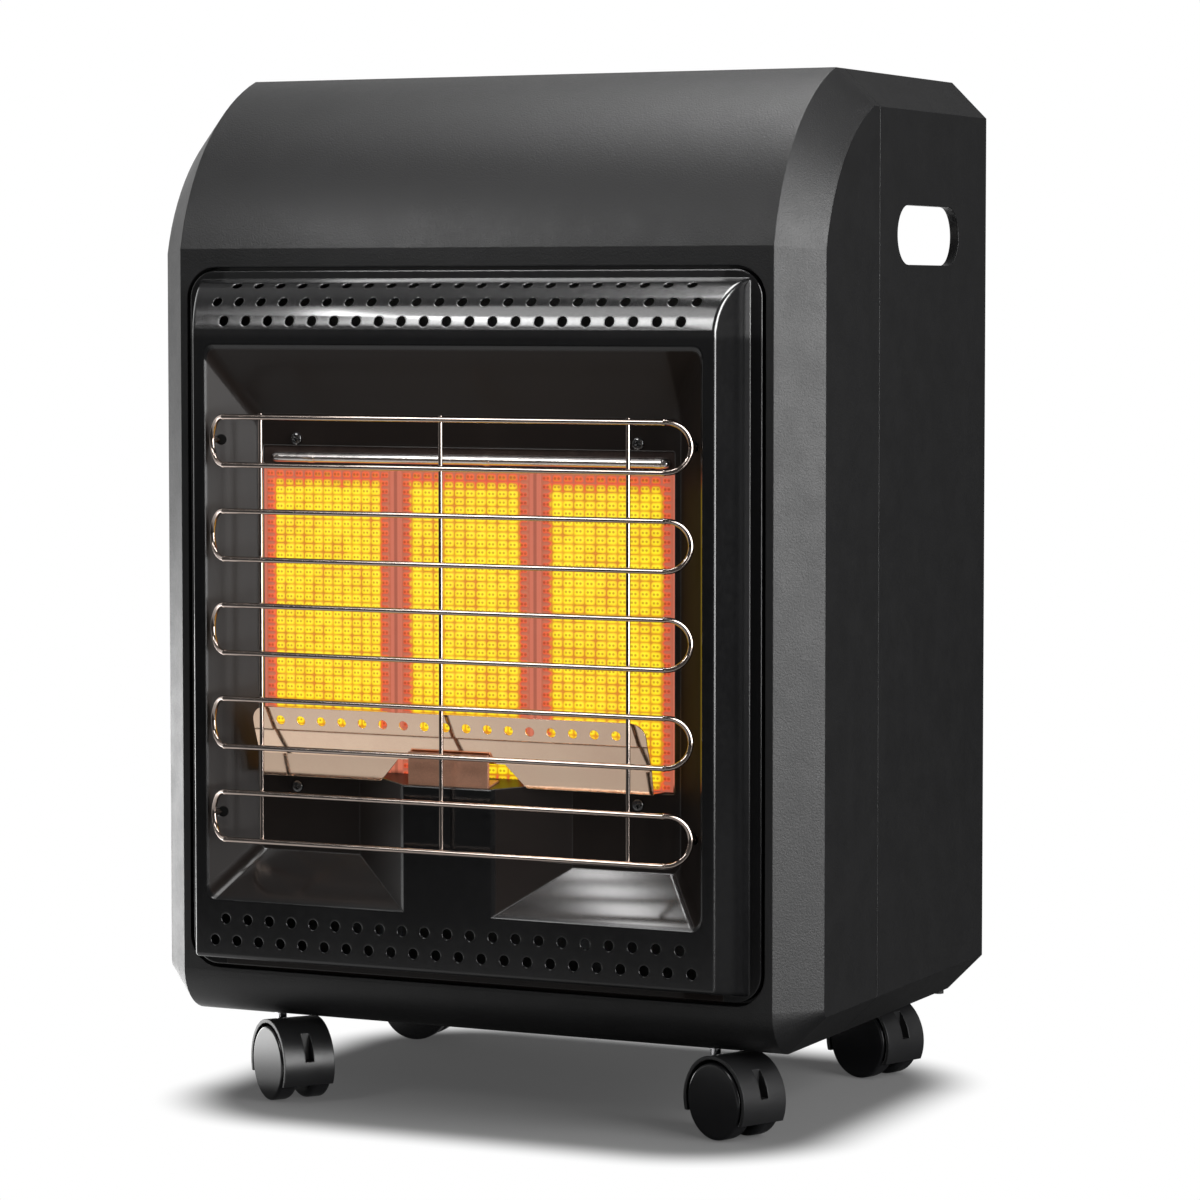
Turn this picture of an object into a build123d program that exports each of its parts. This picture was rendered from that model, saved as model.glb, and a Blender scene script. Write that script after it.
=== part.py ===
from build123d import *
import os
from math import cos, hypot, pi, radians, sin, sqrt

# Portable propane cabinet heater on four swivel casters.
# Millimetres. +Z up, the front faces -Y, the origin is on the floor, under the middle of the bounding box.
# Every place is given by three values: x from the middle plane, depth behind the cabinet's face and
# height above the cabinet's bottom.

# ---------------------------------------------------------------- driving dimensions
# cabinet
cabinet_width = 458.0
cabinet_depth = 299.0
cabinet_height = 600.0
floor_gap = 54.0
sheet = 1.2
edge_chamfer = 24.0
brow_border = 11.6
brow_depth = 96.6
brow_radius = 150.0
toe_height = 28.7
toe_depth = 24.7
toe_radius = 29.5
seam_depth = 110.3
seam_gap = 0.6
lap_length = 12.0
lap_clearance = 0.3
face_border = 5.0
face_opening_low = 31.1
roof_border = 121.9
face_opening_radius = 20.0
rim_depth = 7.0
back_lip = 16.0
back_opening_radius = 18.0
hand_hole_back_gap = 104.5
hand_hole_drop = 102.0
hand_hole_length = 108.0
hand_hole_flat = 72.0
hand_hole_tall = 37.4
hand_rim_depth = 6.0

# enamelled front panel
panel_proud = 29.0
panel_setback = 10.0
panel_side_taper = 10.7
panel_foot_front = 42.6
panel_foot_base = 38.0
crown_rise = 39.0
crown_radius = 37.5
crown_tilt = 8.0
crown_end_depth = -2.0
panel_clearance = 2.5
panel_flange = 8.5
panel_flange_gap = 0.2
panel_edge_radius = 2.5
opening_edge_radius = 1.5
window_corner_radius = 1.5
recess_border = 7.8
recess_low = 79.5
recess_top_border = 9.6
pocket_wall_run = 24.9
recess_back_low = 110.0
recess_top_run = 43.5
recess_back_depth = -4.5
recess_corner_radius = 11.0
channel_front_half = 30.0
channel_back_half = 74.0
channel_top_front = 158.6
channel_top_back = 162.6
window_border = 4.1
burner_window_low = 158.7
window_top_border = 20.0
vent_hole_diameter = 6.6
vent_margin = 14.45
vent_count = 22
vent_crown_rises = (5.1, 17.0, 27.1)
vent_foot_heights = (53.8, 67.5)
screw_inset = 28.2
screw_low = 151.0
screw_drop = 15.5

# burners
window_play = 1.6
column_gap = 8.0
rail_seat = 7.6
plaque_thickness = 13.0
plaque_depth = -4.3
plaque_low = 159.7
gasket_thickness = 1.4
box_wall = 1.0
box_depth = 34.0
plenum_step = 3.3
mixing_tube_diameter = 20.0
mixing_tube_length = 40.0
mixing_tube_depth = 22.0
frame_thickness = 1.5
frame_margin = 11.0
frame_clearance = 0.3
rail_height = 7.0
rail_bulge = 5.2
rail_end_gap = 2.4
rail_drop = 7.3

# gas train
manifold_side = 14.0
manifold_overrun = 15.4
manifold_bore = 8.0
jet_across_flats = 9.0
jet_body = 4.0
jet_nose = 3.0
jet_gap = 8.0
supply_diameter = 8.0
supply_radius = 20.0
pilot_tube_diameter = 4.0
lead_diameter = 3.0
pipe_window_half = 62.0
pipe_window_low = 84.0
pipe_window_high = 150.0
pipe_window_radius = 2.0
bulkhead_depth = 66.0
bulkhead_clearance = 0.3

# deflector and pilot
deflector_sheet = 0.8
deflector_bends = ((-20.0, 159.3), (-22.6, 173.6), (-29.0, 189.3), (-33.4, 203.6))
deflector_end_gap = 7.0
deflector_corner = 10.0
deflector_hole_diameter = 6.0
deflector_hole_margin = 19.82
deflector_hole_count = 17
notch_clearance = 4.4
notch_high_half = 37.0
shield_half = 27.5
shield_front = -27.3
shield_low = 159.2
shield_high = 179.2
shield_sheet = 1.0
shield_return = 2.0
shield_foot_width = 6.0
shield_foot_end = -12.0
post_depth = -15.0
pilot_post_x = -14.0
electrode_x = 2.0
thermocouple_x = 17.0
post_clearance = 0.3
pilot_post_diameter = 8.0
electrode_diameter = 5.0
thermocouple_diameter = 6.0
post_top = 174.0
post_foot = 148.0
post_shoulder = 2.0

# wire guard
wire_radius = 1.7
upright_radius = 1.4
guard_depth = -39.2
loop_top_drop = 16.4
loop_low = 134.4
loop_count = 5
loop_half_height = 15.0
loop_end_inset = 20.6
loop_end_lead = 1.6
loop_end_angle = 34.0
upright_inset = 24.7
upright_overrun = 2.2
hook_bend_depth = -17.9
hook_drop = 8.0
hook_hole_radius = 2.5

# casters
stem_inset = 76.1
stem_front_depth = 34.2
wheel_radius = 23.85
wheel_face = 17.75
wheel_gap_half = 4.45
wheel_inner_round = 4.0
wheel_outer_round = 2.0
hood_radius = 28.0
hood_wall = 2.4
hood_half = 17.1
hood_skirt_front = -12.0
hood_skirt_back = -8.7
web_half = 4.1
caster_trail = 17.4
caster_angles = {"fr": -24.9, "fl": -37.2, "rr": -21.2, "rl": 187.0}
axle_radius = 3.0
axle_half = 16.0
running_clearance = 0.05
stem_radius = 3.25
stem_collar_radius = 4.7
stem_collar = 1.2
stem_insert = 4.0
stem_thread_end = 11.0
nut_across_flats = 11.0
nut_height = 5.5
slot_width = 6.0
slot_low = 3.5
slot_high = 20.5
slot_depth = 4.5
clamp_hole_clearance = 0.15

# base pan, tip switch, bumpers, screws
pan_thickness = 1.5
pan_side_gap = 29.0
pan_front = 28.0
pan_back_gap = 3.0
bracket_x = 70.0
bracket_width = 16.0
bracket_foot = 14.0
switch_inset = 80.0
switch_depth = 180.0
switch_size = (34.0, 22.0, 26.0)
bumper_inset = 29.0
bumper_back_gap = 4.5
bumper_radius = 3.5
bumper_height = 3.0
base_screw_x = 100.0
base_screw_front = 60.0
base_screw_back_gap = 59.0
screw_radius = 2.0
screw_head_radius = 3.9
screw_head_height = 2.2
screw_length = 9.0

# controls, in a tray sunk in the cabinet's top
tray_half = 95.0
tray_length = 75.0
tray_back_gap = 19.0
tray_drop = 27.0
tray_sheet = 1.0
tray_flange = 12.0
tray_radius = 8.0
knob_x = -40.0
knob_back_gap = 38.0
knob_radius = 21.0
knob_height = 17.0
knob_travel = 3.5
knob_lift = 5.5
knob_cup_radius = 13.5
knob_cup_height = 9.0
knob_grip_height = 9.0
knob_grip_width = 9.0
dial_radius = 33.0
dial_thickness = 0.8
bush_radius = 6.0
bush_height = 5.5
panel_nut_across = 17.0
panel_nut_height = 3.0
spindle_radius = 3.0
spindle_sunk = 10.0
spindle_rise = 10.0
valve_size = (46.0, 40.0, 30.0)
valve_port_drop = 18.0
pilot_port_x = 14.0
port_length = 6.0
inlet_radius = 7.94
inlet_length = 18.0
inlet_bore = 3.0
inlet_hex = 19.0
inlet_hex_length = 7.0
spring_wire = 0.9
spring_radius = 7.1
spring_turns = 4
piezo_x = 48.0
piezo_radius = 8.0
piezo_length = 42.0
piezo_flange_radius = 10.5
piezo_flange = 2.0
button_radius = 5.3
button_stand = 8.0
button_travel = 6.0
button_sunk = 8.0
piezo_bore_depth = 22.0
piezo_nut_across = 22.0
piezo_spring_radius = 4.0
piezo_spring_turns = 5

# ---------------------------------------------------------------- derived places
half_width = cabinet_width / 2
guard_reach = wire_radius - guard_depth
front_y = (guard_reach - cabinet_depth) / 2
base_z = floor_gap
backwards = (0, 1, 0)
pan_top = sheet + pan_thickness
stem_rear_depth = cabinet_depth - stem_front_depth
tray_top = cabinet_height - sheet
tray_floor = tray_top - tray_drop
axle_height = wheel_radius - floor_gap
face_opening_half = half_width - edge_chamfer - face_border
face_opening_high = cabinet_height - roof_border
brow_start = face_opening_high + brow_border
hand_hole_height = cabinet_height - hand_hole_drop
panel_outer_half = face_opening_half - panel_clearance
panel_outer_low = face_opening_low + panel_clearance
panel_outer_high = face_opening_high - panel_clearance
flange_depth = rim_depth + panel_flange_gap
panel_base_half = face_opening_half - panel_setback
panel_front_half = panel_base_half - panel_side_taper
crease_height = face_opening_high - crown_rise
vent_crown_heights = [crease_height + rise for rise in vent_crown_rises]
vent_pitch = 2 * (panel_front_half - vent_margin) / (vent_count - 1)
recess_half = panel_front_half - recess_border
recess_high = crease_height - recess_top_border
recess_back_half = recess_half - pocket_wall_run
recess_back_high = recess_high - recess_top_run
screw_x = recess_back_half - screw_inset
screw_high = recess_back_high - screw_drop
burner_window_half = recess_back_half - window_border
burner_window_high = recess_back_high - window_top_border
rail_middle = burner_window_high - rail_drop
plaque_height = rail_middle - rail_seat - plaque_low
# the three columns share the window's width
burner_pitch = (2 * (burner_window_half - window_play) + column_gap) / 3
plaque_width = burner_pitch - column_gap
plenum_width = plaque_width - 2 * plenum_step
rail_half = burner_window_half - rail_end_gap
manifold_half = burner_pitch + manifold_overrun
deflector_half = burner_window_half - deflector_end_gap
deflector_hole_pitch = 2 * (deflector_half - deflector_hole_margin) / (deflector_hole_count - 1)
loop_straight_half = recess_half - loop_end_inset
loop_high = recess_back_high - loop_top_drop
loop_middle = (loop_low + loop_high) / 2
loop_pitch = (loop_high - loop_low) / (loop_count - 1)
upright_x = loop_straight_half - upright_inset
stem_x = half_width - stem_inset
pan_half = half_width - pan_side_gap
switch_x = pan_half - switch_inset
bumper_x = half_width - bumper_inset
bumper_depth = cabinet_depth - bumper_back_gap
base_screw_depths = (base_screw_front, cabinet_depth - base_screw_back_gap)
hand_hole_depth = cabinet_depth - hand_hole_back_gap
tray_back = cabinet_depth - tray_back_gap
tray_front = tray_back - tray_length
knob_depth = tray_back - knob_back_gap
recess_sheet_back = recess_back_depth + sheet
box_width = plaque_width + 2 * gasket_thickness + 2 * box_wall + 2 * running_clearance
box_low = plaque_low - gasket_thickness - box_wall - running_clearance
shelf_depth = plaque_depth + plaque_thickness + gasket_thickness
manifold_top = box_low - mixing_tube_length - jet_gap - jet_body - jet_nose
column_x = (-burner_pitch, 0.0, burner_pitch)


def face_plane(depth):
    """The plane parallel to the cabinet's face at a depth; its local y is the height."""
    return Plane(origin=(0, front_y + depth, base_z), x_dir=(1, 0, 0), z_dir=(0, -1, 0))


def side_plane(x):
    """The plane parallel to the cabinet's side at x; its local x is the depth, its local y the height."""
    return Plane(origin=(x, front_y, base_z), x_dir=(0, 1, 0), z_dir=(1, 0, 0))


def level_plane(height):
    """The level plane at a height; its local y is the depth."""
    return Plane(origin=(0, front_y, base_z + height), x_dir=(1, 0, 0), z_dir=(0, 0, 1))


def spot(x, depth, height):
    """A point given by its x, depth and height."""
    return Vector(x, front_y + depth, base_z + height)


def rounded_window(half, low, high, radius, mode=Mode.ADD):
    """A rounded rectangle between two heights, in the sketch that is being made."""
    with Locations((0, (low + high) / 2)):
        RectangleRounded(2 * half, high - low, radius, mode=mode)


def save(piece, name):
    """Label one finished piece and write its STEP file."""
    piece.part.label = name
    export_step(piece.part, f"parts/{name}.step")


# ---------------------------------------------------------------- cabinet
def cabinet_form(inset):
    """The cabinet's form moved inwards by inset: straight sides, brow and toe curves, one wide chamfer."""
    bevel = edge_chamfer - inset * (2 - sqrt(2))
    straight_half = half_width - inset - bevel
    with BuildPart() as form:
        with BuildSketch(side_plane(-straight_half), side_plane(straight_half)) as profile:
            with BuildLine():
                Polyline((toe_depth, 0), (cabinet_depth + edge_chamfer, 0),
                         (cabinet_depth + edge_chamfer, cabinet_height), (brow_depth, cabinet_height))
                RadiusArc((0, brow_start), (brow_depth, cabinet_height), brow_radius)
                Line((0, brow_start), (0, toe_height))
                RadiusArc((toe_depth, 0), (0, toe_height), toe_radius)
            make_face()
            if inset:
                offset(amount=-inset, kind=Kind.INTERSECTION)
        left, right = profile.sketch.faces().sort_by(Axis.X)
        extrude(left, amount=2 * straight_half)
        extrude(right, amount=bevel, taper=45)
        extrude(left, amount=-bevel, taper=45)
        split(bisect_by=face_plane(cabinet_depth - inset), keep=Keep.TOP)
    return form.part


outer_form = cabinet_form(0)
inner_form = cabinet_form(sheet)


def stem_holes(depth, height, thickness):
    """The two holes that a pair of caster stems passes through."""
    with BuildPart() as holes:
        with BuildSketch(level_plane(height)):
            with Locations((-stem_x, depth), (stem_x, depth)):
                Circle(stem_radius + clamp_hole_clearance)
        extrude(amount=thickness)
    return holes.part


def base_screw_holes(depths, height, thickness):
    """Clearance holes for the screws that hold the shells to the base pan."""
    with BuildPart() as holes:
        with BuildSketch(level_plane(height)):
            with Locations([(side * base_screw_x, depth) for side in (-1, 1) for depth in depths]):
                Circle(screw_radius + clamp_hole_clearance)
        extrude(amount=thickness)
    return holes.part


with BuildPart() as front_shell:
    add(outer_form)
    add(inner_form, mode=Mode.SUBTRACT)
    split(bisect_by=face_plane(seam_depth - seam_gap / 2), keep=Keep.TOP)
    # the opening for the front panel has a turned-in rim
    with BuildSketch(face_plane(0)):
        rounded_window(face_opening_half + sheet, face_opening_low - sheet, face_opening_high + sheet,
                       face_opening_radius + sheet)
    extrude(amount=rim_depth, dir=backwards)
    with BuildSketch(face_plane(0)):
        rounded_window(face_opening_half, face_opening_low, face_opening_high, face_opening_radius)
    extrude(amount=rim_depth, dir=backwards, mode=Mode.SUBTRACT)
    add(stem_holes(stem_front_depth, 0, sheet), mode=Mode.SUBTRACT)
    add(base_screw_holes(base_screw_depths[:1], 0, sheet), mode=Mode.SUBTRACT)
save(front_shell, "front_shell")


def hand_hole_outline(side, grow):
    """The hand hole in one side, flat above and below and bulging at both ends, at its rim's inner edge."""
    flat = hand_hole_flat / 2
    tall = hand_hole_tall / 2
    rim_edge = spot(side * (half_width - hand_rim_depth), hand_hole_depth, hand_hole_height)
    with BuildSketch(Plane(origin=rim_edge, x_dir=(0, 1, 0), z_dir=(side, 0, 0))) as outline:
        with BuildLine():
            Line((-flat, tall), (flat, tall))
            ThreePointArc((flat, tall), (hand_hole_length / 2, 0), (flat, -tall))
            Line((flat, -tall), (-flat, -tall))
            ThreePointArc((-flat, -tall), (-hand_hole_length / 2, 0), (-flat, tall))
        make_face()
        if grow:
            offset(amount=grow)
    return outline.sketch


with BuildPart() as lap:
    # collar inside the front shell's rear edge, on the sides and the top only
    add(cabinet_form(sheet))
    add(cabinet_form(2 * sheet + lap_clearance), mode=Mode.SUBTRACT)
    split(bisect_by=face_plane(seam_depth - lap_length), keep=Keep.BOTTOM)
    split(bisect_by=face_plane(seam_depth + lap_length), keep=Keep.TOP)
    with BuildSketch(face_plane(seam_depth - lap_length)):
        with Locations((0, 0)):
            Rectangle(2 * half_width, 2 * edge_chamfer)
    extrude(amount=2 * lap_length, dir=backwards, mode=Mode.SUBTRACT)
with BuildPart() as lap_gap_ring:
    add(cabinet_form(sheet))
    add(cabinet_form(sheet + lap_clearance), mode=Mode.SUBTRACT)
    split(bisect_by=face_plane(seam_depth + seam_gap / 2), keep=Keep.TOP)

lap_collar = lap.part - lap_gap_ring.part

with BuildPart() as rear_shell:
    add(outer_form)
    add(inner_form, mode=Mode.SUBTRACT)
    split(bisect_by=face_plane(seam_depth + seam_gap / 2), keep=Keep.BOTTOM)
    add(lap_collar)
    # open back with a lip all round
    with BuildSketch(face_plane(cabinet_depth - sheet)):
        rounded_window(half_width - back_lip, back_lip, cabinet_height - back_lip, back_opening_radius)
    extrude(amount=sheet, dir=backwards, mode=Mode.SUBTRACT)
    # hand holes with turned-in rims
    for side in (-1, 1):
        extrude(hand_hole_outline(side, sheet), amount=hand_rim_depth)
        extrude(hand_hole_outline(side, 0), amount=hand_rim_depth, mode=Mode.SUBTRACT)
    # opening for the control tray
    with BuildSketch(level_plane(tray_top)):
        with Locations((0, (tray_front + tray_back) / 2)):
            RectangleRounded(2 * tray_half, tray_back - tray_front, tray_radius)
    extrude(amount=sheet, mode=Mode.SUBTRACT)
    add(stem_holes(stem_rear_depth, 0, sheet), mode=Mode.SUBTRACT)
    add(base_screw_holes(base_screw_depths[1:], 0, sheet), mode=Mode.SUBTRACT)
save(rear_shell, "rear_shell")

with BuildPart() as base_pan:
    with BuildSketch(level_plane(sheet)):
        with Locations((0, (pan_front + cabinet_depth - pan_back_gap) / 2)):
            Rectangle(2 * pan_half, cabinet_depth - pan_back_gap - pan_front)
    extrude(amount=pan_thickness)
    add(stem_holes(stem_front_depth, sheet, pan_thickness), mode=Mode.SUBTRACT)
    add(stem_holes(stem_rear_depth, sheet, pan_thickness), mode=Mode.SUBTRACT)
    add(base_screw_holes(base_screw_depths, sheet, pan_thickness), mode=Mode.SUBTRACT)
save(base_pan, "base_pan")

with BuildPart() as heat_shield:
    # bulkhead across the cabinet, standing on the base pan, with a window for the pipes
    with BuildSketch(face_plane(bulkhead_depth)):
        with Locations((0, cabinet_height / 2)):
            Rectangle(cabinet_width, cabinet_height)
    extrude(amount=sheet, dir=backwards)
    add(cabinet_form(sheet + bulkhead_clearance), mode=Mode.INTERSECT)
    with BuildSketch(face_plane(bulkhead_depth)):
        with Locations((0, (pipe_window_low + pipe_window_high) / 2)):
            RectangleRounded(2 * pipe_window_half, pipe_window_high - pipe_window_low, pipe_window_radius)
        with Locations((0, 0)):
            Rectangle(cabinet_width, 2 * pan_top)
    extrude(amount=sheet, dir=backwards, mode=Mode.SUBTRACT)
save(heat_shield, "heat_shield")

# ---------------------------------------------------------------- enamelled front panel
crown_centre_depth = crown_radius * cos(radians(crown_tilt)) - panel_proud
crown_centre_height = crease_height - crown_radius * sin(radians(crown_tilt))
crown_end_height = crown_centre_height + sqrt(crown_radius ** 2 - (crown_end_depth - crown_centre_depth) ** 2)
side_slope = (panel_base_half - panel_front_half) / panel_proud
recess_span = recess_back_depth + panel_proud
recess_side_slope = (recess_half - recess_back_half) / recess_span
recess_top_slope = (recess_high - recess_back_high) / recess_span
recess_floor_slope = (recess_back_low - recess_low) / recess_span


def on_block_rim(edge):
    """True for the panel body's outer edges at its sides and foot; its crease stays sharp."""
    middle = edge.center() - spot(0, 0, 0)
    crease = abs(middle.X) < 1 and middle.Z > crease_height / 2
    return middle.Y < -panel_proud / 3 and not crease


def on_recess_rim(edge):
    """True for the recess's edges in the panel's front plane."""
    middle = edge.center() - spot(0, -panel_proud, 0)
    reach = opening_edge_radius
    return (abs(middle.Y) < running_clearance and abs(middle.X) < recess_half + reach
            and recess_low - reach < middle.Z < recess_high + reach)


def panel_block(inset):
    """The panel's proud body moved inwards by inset: flat front, curved crown, tapered sides and foot."""
    with BuildPart() as block:
        with BuildSketch(side_plane(-panel_base_half)):
            with BuildLine():
                Polyline((crown_end_depth, crown_end_height), (rim_depth, crown_end_height),
                         (rim_depth, panel_foot_base), (0, panel_foot_base),
                         (-panel_proud, panel_foot_front), (-panel_proud, crease_height))
                RadiusArc((-panel_proud, crease_height), (crown_end_depth, crown_end_height), crown_radius)
            make_face()
            if inset:
                offset(amount=-inset, kind=Kind.INTERSECTION)
        extrude(amount=2 * panel_base_half)
        shift = inset * hypot(1, side_slope)
        rear_half = panel_base_half + rim_depth * side_slope - shift
        with BuildSketch(level_plane(panel_foot_base)):
            Polygon((-(panel_front_half - shift), -panel_proud), (panel_front_half - shift, -panel_proud),
                    (rear_half, rim_depth), (-rear_half, rim_depth), align=None)
        extrude(amount=crown_end_height - panel_foot_base, mode=Mode.INTERSECT)
        fillet(block.edges().filter_by(on_block_rim), radius=panel_edge_radius - inset)
    return block.part


def recess_section(depth, grow):
    """One rectangle of the tapered recess, at a depth, moved outwards by grow."""
    travel = depth + panel_proud
    half = recess_half - recess_side_slope * travel + grow * hypot(1, recess_side_slope)
    low = recess_low + recess_floor_slope * travel - grow * hypot(1, recess_floor_slope)
    high = recess_high - recess_top_slope * travel + grow * hypot(1, recess_top_slope)
    with BuildSketch(face_plane(depth)) as section:
        with Locations((0, (low + high) / 2)):
            Rectangle(2 * half, high - low)
    return section.sketch


def channel_form(inset):
    """The raised channel between the two pockets, moved inwards by inset, with its sloping top."""
    front = -panel_proud - 2 * sheet
    back = recess_back_depth + 2 * sheet
    flank = (channel_back_half - channel_front_half) / recess_span
    roof = (channel_top_back - channel_top_front) / recess_span
    narrow = inset * hypot(1, flank)
    with BuildPart() as channel:
        with BuildSketch(level_plane(0)):
            front_half = channel_front_half - 2 * sheet * flank - narrow
            back_half = channel_back_half + 2 * sheet * flank - narrow
            Polygon((-front_half, front), (front_half, front), (back_half, back), (-back_half, back),
                    align=None)
        extrude(amount=channel_top_back)
        with BuildSketch(side_plane(-half_width)):
            front_top = channel_top_front - 2 * sheet * roof - inset * hypot(1, roof)
            back_top = channel_top_back + 2 * sheet * roof - inset * hypot(1, roof)
            Polygon((front, 0), (back, 0), (back, back_top), (front, front_top), align=None)
        extrude(amount=cabinet_width, mode=Mode.INTERSECT)
    return channel.part


def recess_form(front_depth, back_depth, grow):
    """The space of the recess, moved outwards by grow: a tapered box without the channel."""
    with BuildPart() as recess:
        loft([recess_section(front_depth, grow), recess_section(back_depth, grow)], ruled=True)
        slanted = recess.edges().filter_by(lambda edge: abs(edge.tangent_at(0).Y) > 0.1)
        fillet(slanted, radius=recess_corner_radius + grow)
        add(channel_form(grow), mode=Mode.SUBTRACT)
    return recess.part


def vent_row(height, count, depth, angle):
    """Places of one row of vent holes, on a surface tilted up by angle."""
    return [Plane(origin=spot((index - (count - 1) / 2) * vent_pitch, depth, height),
                  z_dir=(0, -cos(angle), sin(angle))) for index in range(count)]


def crown_row(height, count):
    """Places of one row of vent holes on the crown's curve."""
    rise = (height - crown_centre_height) / crown_radius
    depth = crown_centre_depth - crown_radius * sqrt(1 - rise ** 2)
    return [Plane(origin=spot((index - (count - 1) / 2) * vent_pitch, depth, height),
                  z_dir=(0, -sqrt(1 - rise ** 2), rise)) for index in range(count)]


vents = []
for row, height in enumerate(vent_crown_heights):
    vents += crown_row(height, vent_count - (row + 1) % 2)
for row, height in enumerate(vent_foot_heights):
    vents += vent_row(height, vent_count - row % 2, -panel_proud, 0)

# the guard's hooks go through the recess's side walls
end_angle = radians(loop_end_angle)
loop_tip = loop_end_lead + loop_half_height
hook_x = loop_straight_half + loop_tip * cos(end_angle)
hook_depth = guard_depth + loop_tip * sin(end_angle)
loop_heights = [loop_middle + (index - (loop_count - 1) / 2) * loop_pitch for index in range(loop_count)]
hook_spots = [(side * hook_x, height) for side in (-1, 1) for height in (loop_heights[0], loop_heights[-1])]
screw_spots = [(side * screw_x, height) for side in (-1, 1) for height in (screw_low, screw_high)]
posts = ((pilot_post_x, pilot_post_diameter), (electrode_x, electrode_diameter),
         (thermocouple_x, thermocouple_diameter))

with BuildPart() as front_panel:
    add(panel_block(0))
    with BuildSketch(face_plane(0)):
        rounded_window(panel_outer_half, panel_outer_low, panel_outer_high,
                       face_opening_radius - panel_clearance)
    extrude(amount=flange_depth + sheet, dir=backwards)
    with BuildSketch(face_plane(flange_depth)):
        rounded_window(panel_outer_half + panel_flange, panel_outer_low - panel_flange,
                       panel_outer_high + panel_flange, face_opening_radius)
    extrude(amount=sheet, dir=backwards)
    with BuildSketch(face_plane(sheet)):
        rounded_window(panel_outer_half - sheet, panel_outer_low + sheet, panel_outer_high - sheet,
                       face_opening_radius - panel_clearance - sheet)
    extrude(amount=flange_depth, dir=backwards, mode=Mode.SUBTRACT)
    add(panel_block(sheet), mode=Mode.SUBTRACT)
    add(recess_form(-panel_proud, recess_sheet_back, sheet))
    add(recess_form(-panel_proud - 2 * sheet, recess_back_depth, 0), mode=Mode.SUBTRACT)
    fillet(front_panel.edges().filter_by(on_recess_rim), radius=opening_edge_radius)
    # window for the burners
    with BuildSketch(face_plane(recess_back_depth)):
        rounded_window(burner_window_half, burner_window_low, burner_window_high, window_corner_radius)
    extrude(amount=sheet, dir=backwards, mode=Mode.SUBTRACT)
    with Locations(*vents):
        Cylinder(vent_hole_diameter / 2, 4 * sheet, mode=Mode.SUBTRACT)
    with BuildSketch(face_plane(recess_back_depth)):
        with Locations(*screw_spots):
            Circle(screw_radius + clamp_hole_clearance)
    extrude(amount=sheet, dir=backwards, mode=Mode.SUBTRACT)
    with BuildSketch(face_plane(-panel_proud)):
        with Locations(*hook_spots):
            Circle(hook_hole_radius)
    extrude(amount=recess_span, dir=backwards, mode=Mode.SUBTRACT)
    # holes in the channel's top for the pilot's posts
    with BuildSketch(level_plane(post_foot)):
        for x, diameter in posts:
            with Locations((x, post_depth)):
                Circle(diameter / 2 + post_clearance)
    extrude(amount=post_top - post_foot, mode=Mode.SUBTRACT)
save(front_panel, "front_panel")

# ---------------------------------------------------------------- burners
column_names = ("left", "centre", "right")
for name, x in zip(column_names, column_x):
    with BuildPart() as plaque:
        with BuildSketch(face_plane(plaque_depth)):
            with Locations((x, plaque_low + plaque_height / 2)):
                Rectangle(plaque_width, plaque_height)
        extrude(amount=plaque_thickness, dir=backwards)
    save(plaque, f"burner_plaque_{name}")

    tube_radius = mixing_tube_diameter / 2
    with BuildPart() as box:
        # rebate for the plaque, then the narrower plenum behind it
        with BuildSketch(face_plane(recess_sheet_back + frame_thickness)):
            with Locations((x, plaque_low + plaque_height / 2)):
                Rectangle(box_width, plaque_height + box_width - plaque_width)
        extrude(amount=shelf_depth + box_wall - recess_sheet_back - frame_thickness, dir=backwards)
        with BuildSketch(face_plane(shelf_depth)):
            with Locations((x, plaque_low + plaque_height / 2)):
                Rectangle(plenum_width + 2 * box_wall,
                          plaque_height + plenum_width + 2 * box_wall - plaque_width)
        extrude(amount=box_depth - shelf_depth, dir=backwards)
        # mixing tube that hangs from the plenum
        with BuildSketch(level_plane(box_low - mixing_tube_length)):
            with Locations((x, mixing_tube_depth)):
                Circle(tube_radius)
        extrude(amount=mixing_tube_length + 4 * box_wall + gasket_thickness)
        with BuildSketch(face_plane(recess_sheet_back + frame_thickness)):
            with Locations((x, plaque_low + plaque_height / 2)):
                Rectangle(box_width - 2 * box_wall, plaque_height + box_width - plaque_width - 2 * box_wall)
        extrude(amount=shelf_depth - recess_sheet_back - frame_thickness, dir=backwards, mode=Mode.SUBTRACT)
        with BuildSketch(face_plane(shelf_depth)):
            with Locations((x, plaque_low + plaque_height / 2)):
                Rectangle(plenum_width, plaque_height + plenum_width - plaque_width)
        extrude(amount=box_depth - shelf_depth - box_wall, dir=backwards, mode=Mode.SUBTRACT)
        with BuildSketch(level_plane(box_low - mixing_tube_length)):
            with Locations((x, mixing_tube_depth)):
                Circle(tube_radius - box_wall)
        extrude(amount=mixing_tube_length + 8 * box_wall + gasket_thickness, mode=Mode.SUBTRACT)
    save(box, f"burner_box_{name}")

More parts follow.
